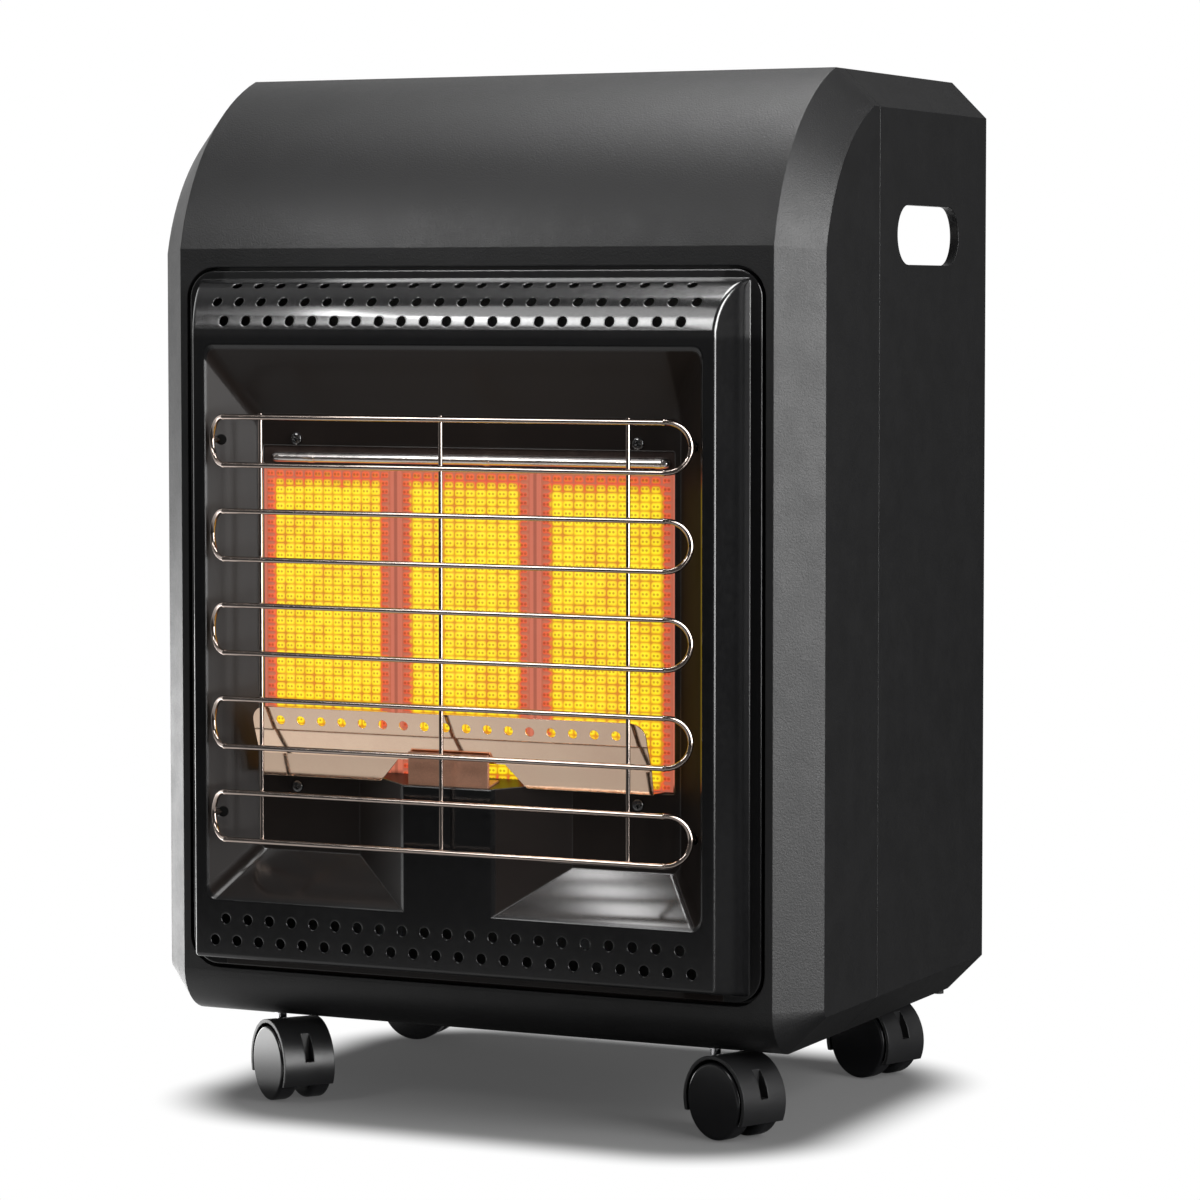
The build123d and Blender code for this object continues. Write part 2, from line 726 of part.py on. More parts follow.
with BuildPart() as plaque_gaskets:
    # each gasket wraps the plaque's edges and rear rim
    for x in column_x:
        with BuildSketch(face_plane(recess_sheet_back + frame_thickness)):
            with Locations((x, plaque_low + plaque_height / 2)):
                Rectangle(plaque_width + 2 * gasket_thickness, plaque_height + 2 * gasket_thickness)
                Rectangle(plaque_width + 2 * running_clearance, plaque_height + 2 * running_clearance,
                          mode=Mode.SUBTRACT)
        extrude(amount=shelf_depth - recess_sheet_back - frame_thickness, dir=backwards)
        with BuildSketch(face_plane(shelf_depth - gasket_thickness)):
            with Locations((x, plaque_low + plaque_height / 2)):
                Rectangle(plaque_width + 2 * gasket_thickness, plaque_height + 2 * gasket_thickness)
                Rectangle(plenum_width, plaque_height + plenum_width - plaque_width, mode=Mode.SUBTRACT)
        extrude(amount=gasket_thickness, dir=backwards)
save(plaque_gaskets, "plaque_gaskets")

frame_half = burner_pitch + plaque_width / 2 + frame_margin
mullion_x = burner_pitch / 2
mullion_width = burner_pitch - plaque_width - 2 * frame_clearance
with BuildPart() as burner_frame:
    with BuildSketch(face_plane(recess_sheet_back)):
        with Locations((0, (screw_low + screw_high) / 2)):
            Rectangle(2 * frame_half, screw_high - screw_low + 2 * screw_head_radius)
        with Locations([(x, plaque_low + plaque_height / 2) for x in column_x]):
            Rectangle(plaque_width + 2 * frame_clearance, plaque_height + 2 * frame_clearance,
                      mode=Mode.SUBTRACT)
        with Locations(*screw_spots):
            Circle(screw_radius + running_clearance, mode=Mode.SUBTRACT)
    extrude(amount=frame_thickness, dir=backwards)
    with BuildSketch(face_plane(plaque_depth + frame_clearance)):
        with Locations([(side * mullion_x, plaque_low + plaque_height / 2) for side in (-1, 1)]):
            Rectangle(mullion_width, plaque_height - 2 * frame_clearance)
    extrude(amount=recess_sheet_back + frame_thickness - plaque_depth - frame_clearance, dir=backwards)
save(burner_frame, "burner_frame")

with BuildPart() as burner_top_rail:
    with BuildSketch(side_plane(-rail_half)):
        with BuildLine():
            rail_low = rail_middle - rail_height / 2
            rail_high = rail_middle + rail_height / 2
            ThreePointArc((recess_sheet_back, rail_high), (recess_sheet_back - rail_bulge, rail_middle),
                          (recess_sheet_back, rail_low))
            Line((recess_sheet_back, rail_low), (recess_sheet_back, rail_high))
        make_face()
    extrude(amount=2 * rail_half)
save(burner_top_rail, "burner_top_rail")

with BuildPart() as panel_screws:
    for x, height in screw_spots:
        with BuildSketch(face_plane(recess_back_depth)):
            with Locations((x, height)):
                Circle(screw_radius)
        extrude(amount=screw_length, dir=backwards)
        with BuildSketch(face_plane(recess_back_depth)):
            with Locations((x, height)):
                Circle(screw_head_radius)
        extrude(amount=screw_head_height)
        # cross recess in the head
        with BuildSketch(face_plane(recess_back_depth - screw_head_height)):
            with Locations((x, height)):
                Rectangle(screw_head_radius, screw_head_radius / 4)
                Rectangle(screw_head_radius / 4, screw_head_radius)
        extrude(amount=screw_head_height / 2, dir=backwards, mode=Mode.SUBTRACT)
save(panel_screws, "panel_screws")

# ---------------------------------------------------------------- deflector
# its flange lies on the window's lower lip and is spot-welded to the burner frame
deflector_heel = (recess_sheet_back - running_clearance, burner_window_low)
deflector_low, deflector_fold, crest, deflector_top = deflector_bends
crest_tilt = hypot(deflector_top[0] - crest[0], deflector_top[1] - crest[1])
crest_up = ((deflector_top[0] - crest[0]) / crest_tilt, (deflector_top[1] - crest[1]) / crest_tilt)


def notch_half(depth):
    """Half the notch's width at a depth: it clears the channel, which widens backwards."""
    flank = (channel_back_half - channel_front_half) / recess_span
    return channel_front_half + flank * (depth + panel_proud) + notch_clearance


notch_low_half = notch_half(deflector_low[0])
notch_back_half = notch_half(recess_sheet_back)

with BuildPart() as deflector:
    with BuildSketch(side_plane(-deflector_half)):
        with BuildLine():
            Polyline(deflector_heel, *deflector_bends)
            offset(amount=deflector_sheet, side=Side.RIGHT)
        make_face()
    extrude(amount=2 * deflector_half)
    # notch over the pilot, through the flange and the lower leaf
    with BuildSketch(level_plane(burner_window_low - deflector_sheet)):
        Polygon((-notch_low_half, deflector_low[0]), (notch_low_half, deflector_low[0]),
                (notch_back_half, recess_sheet_back), (-notch_back_half, recess_sheet_back), align=None)
    extrude(amount=4 * deflector_sheet, mode=Mode.SUBTRACT)
    with BuildSketch(face_plane(crest[0])):
        Polygon((-notch_low_half, burner_window_low), (notch_low_half, burner_window_low),
                (notch_low_half, deflector_low[1]), (notch_high_half, deflector_fold[1]),
                (-notch_high_half, deflector_fold[1]), (-notch_low_half, deflector_low[1]), align=None)
    extrude(amount=deflector_low[0] + 2 * deflector_sheet - crest[0], dir=backwards, mode=Mode.SUBTRACT)
    # row of holes in the upper leaf
    middle_depth = (crest[0] + deflector_top[0]) / 2
    middle_height = crest[1] + 0.42 * (deflector_top[1] - crest[1])
    hole_planes = [Plane(origin=spot((index - (deflector_hole_count - 1) / 2) * deflector_hole_pitch,
                                     middle_depth, middle_height), z_dir=(0, -crest_up[1], crest_up[0]))
                   for index in range(deflector_hole_count)]
    with Locations(*hole_planes):
        Cylinder(deflector_hole_diameter / 2, 8 * deflector_sheet, mode=Mode.SUBTRACT)
    top_corners = deflector.edges().filter_by(lambda edge: abs(edge.tangent_at(0).X) < 0.01)
    fillet(top_corners.filter_by(lambda edge: edge.length < 1.01 * deflector_sheet)
           .group_by(Axis.Z)[-1], radius=deflector_corner)
save(deflector, "deflector")

# ---------------------------------------------------------------- pilot
channel_roof_slope = (channel_top_back - channel_top_front) / recess_span


def roof_height(depth):
    """Height of the channel's sloping top at a depth."""
    return channel_top_front + channel_roof_slope * (depth + panel_proud)


with BuildPart() as pilot_shield:
    returned = shield_front + shield_return
    with BuildSketch(side_plane(-shield_half)):
        Polygon((shield_front, roof_height(shield_front)), (returned, roof_height(returned)),
                (returned, shield_high), (shield_front, shield_high), align=None)
    extrude(amount=2 * shield_half)
    with BuildSketch(side_plane(-shield_half + shield_sheet)):
        Polygon((shield_front + shield_sheet, roof_height(shield_front) + shield_sheet),
                (returned, roof_height(returned) + shield_sheet), (returned, shield_high),
                (shield_front + shield_sheet, shield_high), align=None)
    extrude(amount=2 * shield_half - 2 * shield_sheet, mode=Mode.SUBTRACT)
    # feet back along the channel's roof, either side of the posts
    for start in (-shield_half, shield_half - shield_foot_width):
        with BuildSketch(side_plane(start)):
            Polygon((shield_front, roof_height(shield_front)),
                    (shield_foot_end, roof_height(shield_foot_end)),
                    (shield_foot_end, roof_height(shield_foot_end) + shield_sheet),
                    (shield_front, roof_height(shield_front) + shield_sheet), align=None)
        extrude(amount=shield_foot_width)
save(pilot_shield, "pilot_shield")


def pilot_post(x, diameter, top, tip_radius):
    """An upright round post through the channel's top, with a shoulder that seats on it and a finer tip."""
    with BuildPart() as post:
        with BuildSketch(level_plane(post_foot)):
            with Locations((x, post_depth)):
                Circle(diameter / 2)
        extrude(amount=top - post_foot)
        shoulder_radius = diameter / 2 + 2 * post_clearance
        with BuildSketch(level_plane(roof_height(post_depth + shoulder_radius))):
            with Locations((x, post_depth)):
                Circle(shoulder_radius)
        extrude(amount=post_shoulder)
        with BuildSketch(level_plane(top)):
            with Locations((x, post_depth)):
                Circle(tip_radius)
        extrude(amount=post_shoulder)
    return post


pilot_burner = pilot_post(pilot_post_x, pilot_post_diameter, post_top, pilot_post_diameter / 4)
save(pilot_burner, "pilot_burner")
igniter_electrode = pilot_post(electrode_x, electrode_diameter, post_top - post_shoulder,
                               electrode_diameter / 5)
save(igniter_electrode, "igniter_electrode")

# ---------------------------------------------------------------- wire guard
def loop_end_plane(side, height):
    """The tilted plane of one loop end; its local x runs outwards along the bent wire."""
    return Plane(origin=spot(side * loop_straight_half, guard_depth, height),
                 x_dir=(side * cos(end_angle), sin(end_angle), 0),
                 z_dir=(sin(end_angle), -side * cos(end_angle), 0))


with BuildPart() as guard_loops:
    for height in loop_heights:
        wire_heights = (height - loop_half_height, height + loop_half_height)
        with BuildSketch(side_plane(-loop_straight_half)):
            with Locations([(guard_depth, wire_height) for wire_height in wire_heights]):
                Circle(wire_radius)
        extrude(amount=2 * loop_straight_half)
        for side in (-1, 1):
            bend = loop_end_plane(side, height)
            with BuildLine(bend) as end_path:
                Line((0, loop_half_height), (loop_end_lead, loop_half_height))
                ThreePointArc((loop_end_lead, loop_half_height), (loop_tip, 0),
                              (loop_end_lead, -loop_half_height))
                Line((loop_end_lead, -loop_half_height), (0, -loop_half_height))
            with BuildSketch(Plane(origin=end_path.line @ 0, z_dir=end_path.line % 0)):
                Circle(wire_radius)
            sweep(path=end_path.line)
            with Locations([spot(side * loop_straight_half, guard_depth, wire_height)
                            for wire_height in wire_heights]):
                Sphere(wire_radius)
    # hooks of the lowest and highest loops: back through the wall, then down behind it
    for x, height in hook_spots:
        with BuildSketch(face_plane(hook_depth)):
            with Locations((x, height)):
                Circle(wire_radius)
        extrude(amount=hook_bend_depth - hook_depth, dir=backwards)
        with Locations(spot(x, hook_bend_depth, height)):
            Sphere(wire_radius)
        with BuildSketch(level_plane(height)):
            with Locations((x, hook_bend_depth)):
                Circle(wire_radius)
        extrude(amount=-hook_drop)
save(guard_loops, "guard_loops")

with BuildPart() as guard_uprights:
    upright_depth = guard_depth + wire_radius + upright_radius
    with BuildSketch(level_plane(loop_heights[0] - loop_half_height - upright_overrun)):
        with Locations([(x, upright_depth) for x in (-upright_x, 0, upright_x)]):
            Circle(upright_radius)
    extrude(amount=loop_heights[-1] - loop_heights[0] + 2 * loop_half_height + 2 * upright_overrun)
save(guard_uprights, "guard_uprights")

# ---------------------------------------------------------------- gas train
manifold_low = manifold_top - manifold_side
manifold_middle = manifold_top - manifold_side / 2
with BuildPart() as gas_manifold:
    with BuildSketch(side_plane(-manifold_half)):
        with Locations((mixing_tube_depth, manifold_middle)):
            Rectangle(manifold_side, manifold_side)
    extrude(amount=2 * manifold_half)
    with BuildSketch(side_plane(-manifold_half + box_wall)):
        with Locations((mixing_tube_depth, manifold_middle)):
            Circle(manifold_bore / 2)
    extrude(amount=2 * manifold_half - 2 * box_wall, mode=Mode.SUBTRACT)
save(gas_manifold, "gas_manifold")

with BuildPart() as gas_jets:
    for x in column_x:
        with BuildSketch(level_plane(manifold_top)):
            with Locations((x, mixing_tube_depth)):
                RegularPolygon(jet_across_flats / 2, 6, major_radius=False)
        extrude(amount=jet_body)
        with BuildSketch(level_plane(manifold_top + jet_body)):
            with Locations((x, mixing_tube_depth)):
                Circle(jet_nose)
        extrude(amount=jet_nose, taper=20)
save(gas_jets, "gas_jets")

with BuildPart() as manifold_bracket:
    bracket_depth = mixing_tube_depth + manifold_side / 2
    for side in (-1, 1):
        with BuildSketch(face_plane(bracket_depth)):
            with Locations((side * bracket_x, (pan_top + manifold_top) / 2)):
                Rectangle(bracket_width, manifold_top - pan_top)
        extrude(amount=sheet, dir=backwards)
        with BuildSketch(level_plane(pan_top)):
            with Locations((side * bracket_x, bracket_depth + bracket_foot / 2)):
                Rectangle(bracket_width, bracket_foot)
        extrude(amount=sheet)
save(manifold_bracket, "manifold_bracket")

# ---------------------------------------------------------------- control tray, valve and igniter
valve_top = tray_floor - tray_sheet
valve_front = knob_depth - valve_size[1] / 2
valve_back = knob_depth + valve_size[1] / 2
port_height = valve_top - valve_port_drop
dial_top = tray_floor + dial_thickness
nut_top = dial_top + panel_nut_height
knob_low = tray_floor + knob_lift
spring_seat = nut_top + running_clearance

with BuildPart() as control_panel:
    tray_middle = (tray_front + tray_back) / 2
    with BuildSketch(level_plane(tray_top - tray_sheet)):
        with Locations((0, tray_middle)):
            RectangleRounded(2 * (tray_half + tray_flange), tray_length + 2 * tray_flange, tray_radius)
    extrude(amount=tray_sheet)
    with BuildSketch(level_plane(tray_floor - tray_sheet)):
        with Locations((0, tray_middle)):
            RectangleRounded(2 * tray_half, tray_length, tray_radius)
    extrude(amount=tray_drop + tray_sheet)
    with BuildSketch(level_plane(tray_floor)):
        with Locations((0, tray_middle)):
            RectangleRounded(2 * (tray_half - tray_sheet), tray_length - 2 * tray_sheet,
                             tray_radius - tray_sheet)
    extrude(amount=tray_drop, mode=Mode.SUBTRACT)
    with BuildSketch(level_plane(tray_floor - tray_sheet)):
        with Locations((knob_x, knob_depth)):
            Circle(bush_radius + clamp_hole_clearance)
        with Locations((piezo_x, knob_depth)):
            Circle(piezo_radius + clamp_hole_clearance)
    extrude(amount=tray_sheet, mode=Mode.SUBTRACT)
save(control_panel, "control_panel")

with BuildPart() as gas_valve:
    with BuildSketch(level_plane(valve_top - valve_size[2])):
        with Locations((knob_x, knob_depth)):
            RectangleRounded(valve_size[0], valve_size[1], valve_size[0] / 10)
    extrude(amount=valve_size[2])
    with BuildSketch(level_plane(valve_top)):
        with Locations((knob_x, knob_depth)):
            Circle(bush_radius)
    extrude(amount=tray_sheet + bush_height)
    # outlet ports towards the front
    with BuildSketch(face_plane(valve_front)):
        with Locations((knob_x, port_height)):
            RegularPolygon(supply_diameter, 6, major_radius=False)
        with Locations((knob_x + pilot_port_x, port_height)):
            Circle(pilot_tube_diameter)
    extrude(amount=port_length)
    # spindle bore
    with BuildSketch(level_plane(tray_floor + bush_height)):
        with Locations((knob_x, knob_depth)):
            Circle(spindle_radius + running_clearance)
    extrude(amount=-bush_height - tray_sheet - spindle_sunk, mode=Mode.SUBTRACT)
save(gas_valve, "gas_valve")

with BuildPart() as valve_spindle:
    with BuildSketch(level_plane(valve_top - spindle_sunk)):
        with Locations((knob_x, knob_depth)):
            Circle(spindle_radius)
    extrude(amount=spindle_sunk + tray_sheet + bush_height + spindle_rise)
save(valve_spindle, "valve_spindle")

with BuildPart() as inlet_fitting:
    with BuildSketch(face_plane(valve_back)):
        with Locations((knob_x, port_height)):
            RegularPolygon(inlet_hex / 2, 6, major_radius=False)
    extrude(amount=inlet_hex_length, dir=backwards)
    with BuildSketch(face_plane(valve_back + inlet_hex_length)):
        with Locations((knob_x, port_height)):
            Circle(inlet_radius)
    extrude(amount=inlet_length, dir=backwards)
    with BuildSketch(face_plane(valve_back)):
        with Locations((knob_x, port_height)):
            Circle(inlet_bore)
    extrude(amount=inlet_hex_length + inlet_length, dir=backwards, mode=Mode.SUBTRACT)
save(inlet_fitting, "inlet_fitting")

with BuildPart() as dial_plate:
    with BuildSketch(level_plane(tray_floor)):
        with Locations((knob_x, knob_depth)):
            Circle(dial_radius)
            Circle(bush_radius + clamp_hole_clearance, mode=Mode.SUBTRACT)
    extrude(amount=dial_thickness)
save(dial_plate, "dial_plate")

with BuildPart() as control_knob:
    with BuildSketch(level_plane(knob_low)):
        with Locations((knob_x, knob_depth)):
            Circle(knob_radius)
    extrude(amount=knob_height - knob_grip_height, taper=4)
    # raised grip bar
    with BuildSketch(level_plane(knob_low + knob_height - knob_grip_height)):
        with Locations((knob_x, knob_depth)):
            SlotOverall(1.8 * knob_radius, knob_grip_width, rotation=90)
    extrude(amount=knob_grip_height, taper=3)
    # cup over the nut and spring, and the spindle's socket
    with BuildSketch(level_plane(knob_low)):
        with Locations((knob_x, knob_depth)):
            Circle(knob_cup_radius)
            Circle(spindle_radius + 2 * sheet, mode=Mode.SUBTRACT)
    extrude(amount=knob_cup_height, mode=Mode.SUBTRACT)
    with BuildSketch(level_plane(knob_low)):
        with Locations((knob_x, knob_depth)):
            Circle(bush_radius + frame_clearance)
    extrude(amount=knob_travel + bush_height - knob_lift + sheet, mode=Mode.SUBTRACT)
    with BuildSketch(level_plane(knob_low)):
        with Locations((knob_x, knob_depth)):
            Circle(spindle_radius + running_clearance)
    extrude(amount=bush_height + spindle_rise - knob_lift + knob_travel + frame_clearance, mode=Mode.SUBTRACT)
save(control_knob, "control_knob")


def coil_spring(x, low, high, radius, wire, turns):
    """A compression spring between two heights, with its wire inside both."""
    rise = high - low - wire
    with BuildPart() as spring:
        with BuildLine(Plane(origin=spot(x, knob_depth, low + wire / 2))) as coil:
            Helix(pitch=rise / turns, height=rise, radius=radius)
        with BuildSketch(Plane(origin=coil.line @ 0, z_dir=coil.line % 0)):
            Circle(wire / 2)
        sweep(path=coil.line, is_frenet=True)
    return spring


knob_spring = coil_spring(knob_x, spring_seat, knob_low + knob_cup_height - running_clearance,
                          spring_radius, spring_wire, spring_turns)
save(knob_spring, "knob_spring")

piezo_low = tray_floor - piezo_length
button_low = tray_floor + piezo_flange - button_sunk
bore_floor = tray_floor + piezo_flange - piezo_bore_depth
with BuildPart() as piezo_body:
    with BuildSketch(level_plane(piezo_low)):
        with Locations((piezo_x, knob_depth)):
            Circle(piezo_radius)
    extrude(amount=piezo_length)
    with BuildSketch(level_plane(tray_floor)):
        with Locations((piezo_x, knob_depth)):
            Circle(piezo_flange_radius)
    extrude(amount=piezo_flange)
    with BuildSketch(level_plane(bore_floor)):
        with Locations((piezo_x, knob_depth)):
            Circle(button_radius + running_clearance)
    extrude(amount=piezo_bore_depth, mode=Mode.SUBTRACT)
save(piezo_body, "piezo_body")

with BuildPart() as piezo_button:
    with BuildSketch(level_plane(button_low)):
        with Locations((piezo_x, knob_depth)):
            Circle(button_radius)
    extrude(amount=button_sunk + button_stand)
    fillet(piezo_button.edges().group_by(Axis.Z)[-1], radius=button_radius / 4)
save(piezo_button, "piezo_button")

piezo_spring = coil_spring(piezo_x, bore_floor + running_clearance, button_low - running_clearance,
                           piezo_spring_radius, spring_wire, piezo_spring_turns)
save(piezo_spring, "piezo_spring")

with BuildPart() as panel_nuts:
    # valve nut above the dial plate, igniter nut below the tray
    with BuildSketch(level_plane(dial_top)):
        with Locations((knob_x, knob_depth)):
            RegularPolygon(panel_nut_across / 2, 6, major_radius=False)
            Circle(bush_radius + running_clearance, mode=Mode.SUBTRACT)
    extrude(amount=panel_nut_height)
    with BuildSketch(level_plane(tray_floor - tray_sheet)):
        with Locations((piezo_x, knob_depth)):
            RegularPolygon(piezo_nut_across / 2, 6, major_radius=False)
            Circle(piezo_radius + running_clearance, mode=Mode.SUBTRACT)
    extrude(amount=-panel_nut_height)
save(panel_nuts, "panel_nuts")

# ---------------------------------------------------------------- tubes and leads
behind_bulkhead = bulkhead_depth + sheet + 2 * supply_diameter


def round_tube(route, radius, diameter):
    """A round tube or lead along straight runs joined by arcs."""
    with BuildPart() as tube:
        with BuildLine() as path:
            FilletPolyline(*[spot(*point) for point in route], radius=radius)
        with BuildSketch(Plane(origin=path.line @ 0, z_dir=path.line % 0)):
            Circle(diameter / 2)
        sweep(path=path.line)
    return tube


manifold_back = mixing_tube_depth + manifold_side / 2
supply_tube = round_tube(
    [(knob_x, valve_front - port_length, port_height), (knob_x, behind_bulkhead, port_height),
     (knob_x, behind_bulkhead, manifold_middle), (knob_x, manifold_back, manifold_middle)],
    supply_radius, supply_diameter)
save(supply_tube, "supply_tube")

pilot_run_height = pipe_window_high - 2 * supply_diameter
pilot_tube = round_tube(
    [(knob_x + pilot_port_x, valve_front - port_length, port_height),
     (knob_x + pilot_port_x, behind_bulkhead, port_height),
     (knob_x + pilot_port_x, behind_bulkhead, pilot_run_height),
     (pilot_post_x, mixing_tube_depth - 2 * supply_diameter, pilot_run_height),
     (pilot_post_x, post_depth, pilot_run_height),
     (pilot_post_x, post_depth, post_foot)],
    pilot_tube_diameter * 2, pilot_tube_diameter)
save(pilot_tube, "pilot_tube")

lead_x = 24.0
lead_drop = 12.0
ignition_lead = round_tube(
    [(piezo_x, knob_depth, piezo_low), (piezo_x, knob_depth, piezo_low - 3 * lead_drop),
     (lead_x, behind_bulkhead, piezo_low - 3 * lead_drop - 2 * supply_diameter),
     (lead_x, behind_bulkhead, pilot_run_height),
     (lead_x, bulkhead_depth / 2, pilot_run_height),
     (electrode_x, 0, pilot_run_height),
     (electrode_x, post_depth, pilot_run_height),
     (electrode_x, post_depth, post_foot)],
    lead_diameter * 2.4, lead_diameter)
save(ignition_lead, "ignition_lead")

thermo_run_height = pilot_run_height - 3 * lead_diameter
with BuildPart() as thermocouple:
    add(pilot_post(thermocouple_x, thermocouple_diameter, post_top, thermocouple_diameter / 4).part)
    add(round_tube(
        [(knob_x - pilot_port_x, knob_depth, valve_top - valve_size[2]),
         (knob_x - pilot_port_x, knob_depth, valve_top - valve_size[2] - 3 * lead_drop),
         (knob_x - pilot_port_x, behind_bulkhead, valve_top - valve_size[2] - 3 * lead_drop),
         (knob_x - pilot_port_x, behind_bulkhead, thermo_run_height),
         (knob_x - pilot_port_x, bulkhead_depth - 2 * sheet, thermo_run_height),
         (thermocouple_x, bulkhead_depth / 2, thermo_run_height),
         (thermocouple_x, post_depth, thermo_run_height),
         (thermocouple_x, post_depth, post_foot)],
        lead_diameter * 2.4, lead_diameter).part)
save(thermocouple, "thermocouple")

with BuildPart() as tip_switch:
    with BuildSketch(level_plane(pan_top)):
        with Locations((switch_x, switch_depth)):
            Rectangle(switch_size[0] + 4 * bumper_radius, switch_size[1])
    extrude(amount=sheet)
    with BuildSketch(level_plane(pan_top)):
        with Locations((switch_x, switch_depth)):
            Rectangle(switch_size[0], switch_size[1])
    extrude(amount=switch_size[2])
    fillet(tip_switch.edges().group_by(Axis.Z)[-1], radius=2 * sheet)
save(tip_switch, "tip_switch")

with BuildPart() as rear_bumpers:
    with BuildSketch(level_plane(0)):
        with Locations((-bumper_x, bumper_depth), (bumper_x, bumper_depth)):
            Circle(bumper_radius)
    extrude(amount=-bumper_height)
save(rear_bumpers, "rear_bumpers")

with BuildPart() as shell_screws:
    screw_places = [(side * base_screw_x, depth) for side in (-1, 1) for depth in base_screw_depths]
    with BuildSketch(level_plane(0)):
        with Locations(*screw_places):
            Circle(screw_radius)
    extrude(amount=screw_length)
    with BuildSketch(level_plane(0)):
        with Locations(*screw_places):
            Circle(screw_head_radius)
    extrude(amount=-screw_head_height)
save(shell_screws, "shell_screws")

# ---------------------------------------------------------------- casters
caster_places = {"fr": (stem_x, stem_front_depth), "fl": (-stem_x, stem_front_depth),
                 "rr": (stem_x, stem_rear_depth), "rl": (-stem_x, stem_rear_depth)}

with BuildPart() as caster_stems:
    with BuildSketch(level_plane(axle_height + stem_insert)):
        with Locations(*caster_places.values()):
            Circle(stem_radius)
    extrude(amount=stem_thread_end - axle_height - stem_insert)
    with BuildSketch(level_plane(0)):
        with Locations(*caster_places.values()):
            Circle(stem_collar_radius)
    extrude(amount=-stem_collar)
save(caster_stems, "caster_stems")

with BuildPart() as caster_nuts:
    with BuildSketch(level_plane(pan_top)):
        with Locations(*caster_places.values()):
            RegularPolygon(nut_across_flats / 2, 6, major_radius=False)
            Circle(stem_radius + running_clearance, mode=Mode.SUBTRACT)
    extrude(amount=nut_height)
save(caster_nuts, "caster_nuts")

for name, (x, depth) in caster_places.items():
    angle = radians(caster_angles[name])
    centre = spot(x + caster_trail * cos(angle), depth + caster_trail * sin(angle), axle_height)
    # local x points away from the stem, local y up, local z along the axle
    wheel_plane = Plane(origin=centre, x_dir=(cos(angle), sin(angle), 0), z_dir=(sin(angle), -cos(angle), 0))

    with BuildPart() as hood:
        with BuildSketch(wheel_plane):
            Circle(hood_radius)
            Circle(hood_radius - hood_wall, mode=Mode.SUBTRACT)
            with Locations((hood_radius, hood_skirt_front - hood_radius)):
                Rectangle(2 * hood_radius, 2 * hood_radius, mode=Mode.SUBTRACT)
            with Locations((-hood_radius, hood_skirt_back - hood_radius)):
                Rectangle(2 * hood_radius, 2 * hood_radius, mode=Mode.SUBTRACT)
        extrude(amount=hood_half, both=True)
        with BuildSketch(wheel_plane):
            Circle(hood_radius - hood_wall / 2)
            with Locations((0, hood_skirt_back - hood_radius)):
                Rectangle(4 * hood_radius, 2 * hood_radius, mode=Mode.SUBTRACT)
        extrude(amount=web_half, both=True)
        with BuildSketch(wheel_plane):
            Circle(axle_radius + running_clearance)
        extrude(amount=hood_half, both=True, mode=Mode.SUBTRACT)
        # stem bore
        with BuildSketch(level_plane(axle_height + stem_insert)):
            with Locations((x, depth)):
                Circle(stem_radius + running_clearance)
        extrude(amount=hood_radius, mode=Mode.SUBTRACT)
        # slot in the hood's middle
        with BuildSketch(wheel_plane):
            with Locations((hood_radius, (slot_low + slot_high) / 2)):
                Rectangle(2 * slot_depth + hood_radius - sqrt(hood_radius ** 2 - slot_high ** 2),
                          slot_high - slot_low)
        extrude(amount=slot_width / 2, both=True, mode=Mode.SUBTRACT)
    save(hood, f"caster_hood_{name}")

    with BuildPart() as wheels:
        for end in (-1, 1):
            wheel_side = Plane(origin=centre + wheel_plane.z_dir * (end * wheel_gap_half),
                               x_dir=wheel_plane.x_dir, z_dir=wheel_plane.z_dir * end)
            with BuildSketch(wheel_side):
                Circle(wheel_radius)
            extrude(amount=wheel_face - wheel_gap_half)
            with BuildSketch(wheel_side):
                Circle(axle_radius)
            extrude(amount=axle_half - wheel_gap_half, mode=Mode.SUBTRACT)
        rims = wheels.edges().filter_by(GeomType.CIRCLE).filter_by(lambda edge: edge.radius > axle_radius + 1)
        outer_rims = rims.filter_by(lambda edge: abs((edge.arc_center - centre).dot(wheel_plane.z_dir))
                                    > wheel_gap_half + 1)
        fillet(outer_rims, radius=wheel_outer_round)
        round_edges = wheels.edges().filter_by(GeomType.CIRCLE)
        rims = round_edges.filter_by(lambda edge: edge.radius > wheel_radius - axle_radius / 3)
        inner_rims = rims.filter_by(lambda edge: abs((edge.arc_center - centre).dot(wheel_plane.z_dir))
                                    < wheel_gap_half + 1)
        fillet(inner_rims, radius=wheel_inner_round)
    save(wheels, f"caster_wheels_{name}")

    with BuildPart() as axle:
        with BuildSketch(wheel_plane):
            Circle(axle_radius)
        extrude(amount=axle_half, both=True)
    save(axle, f"caster_axle_{name}")
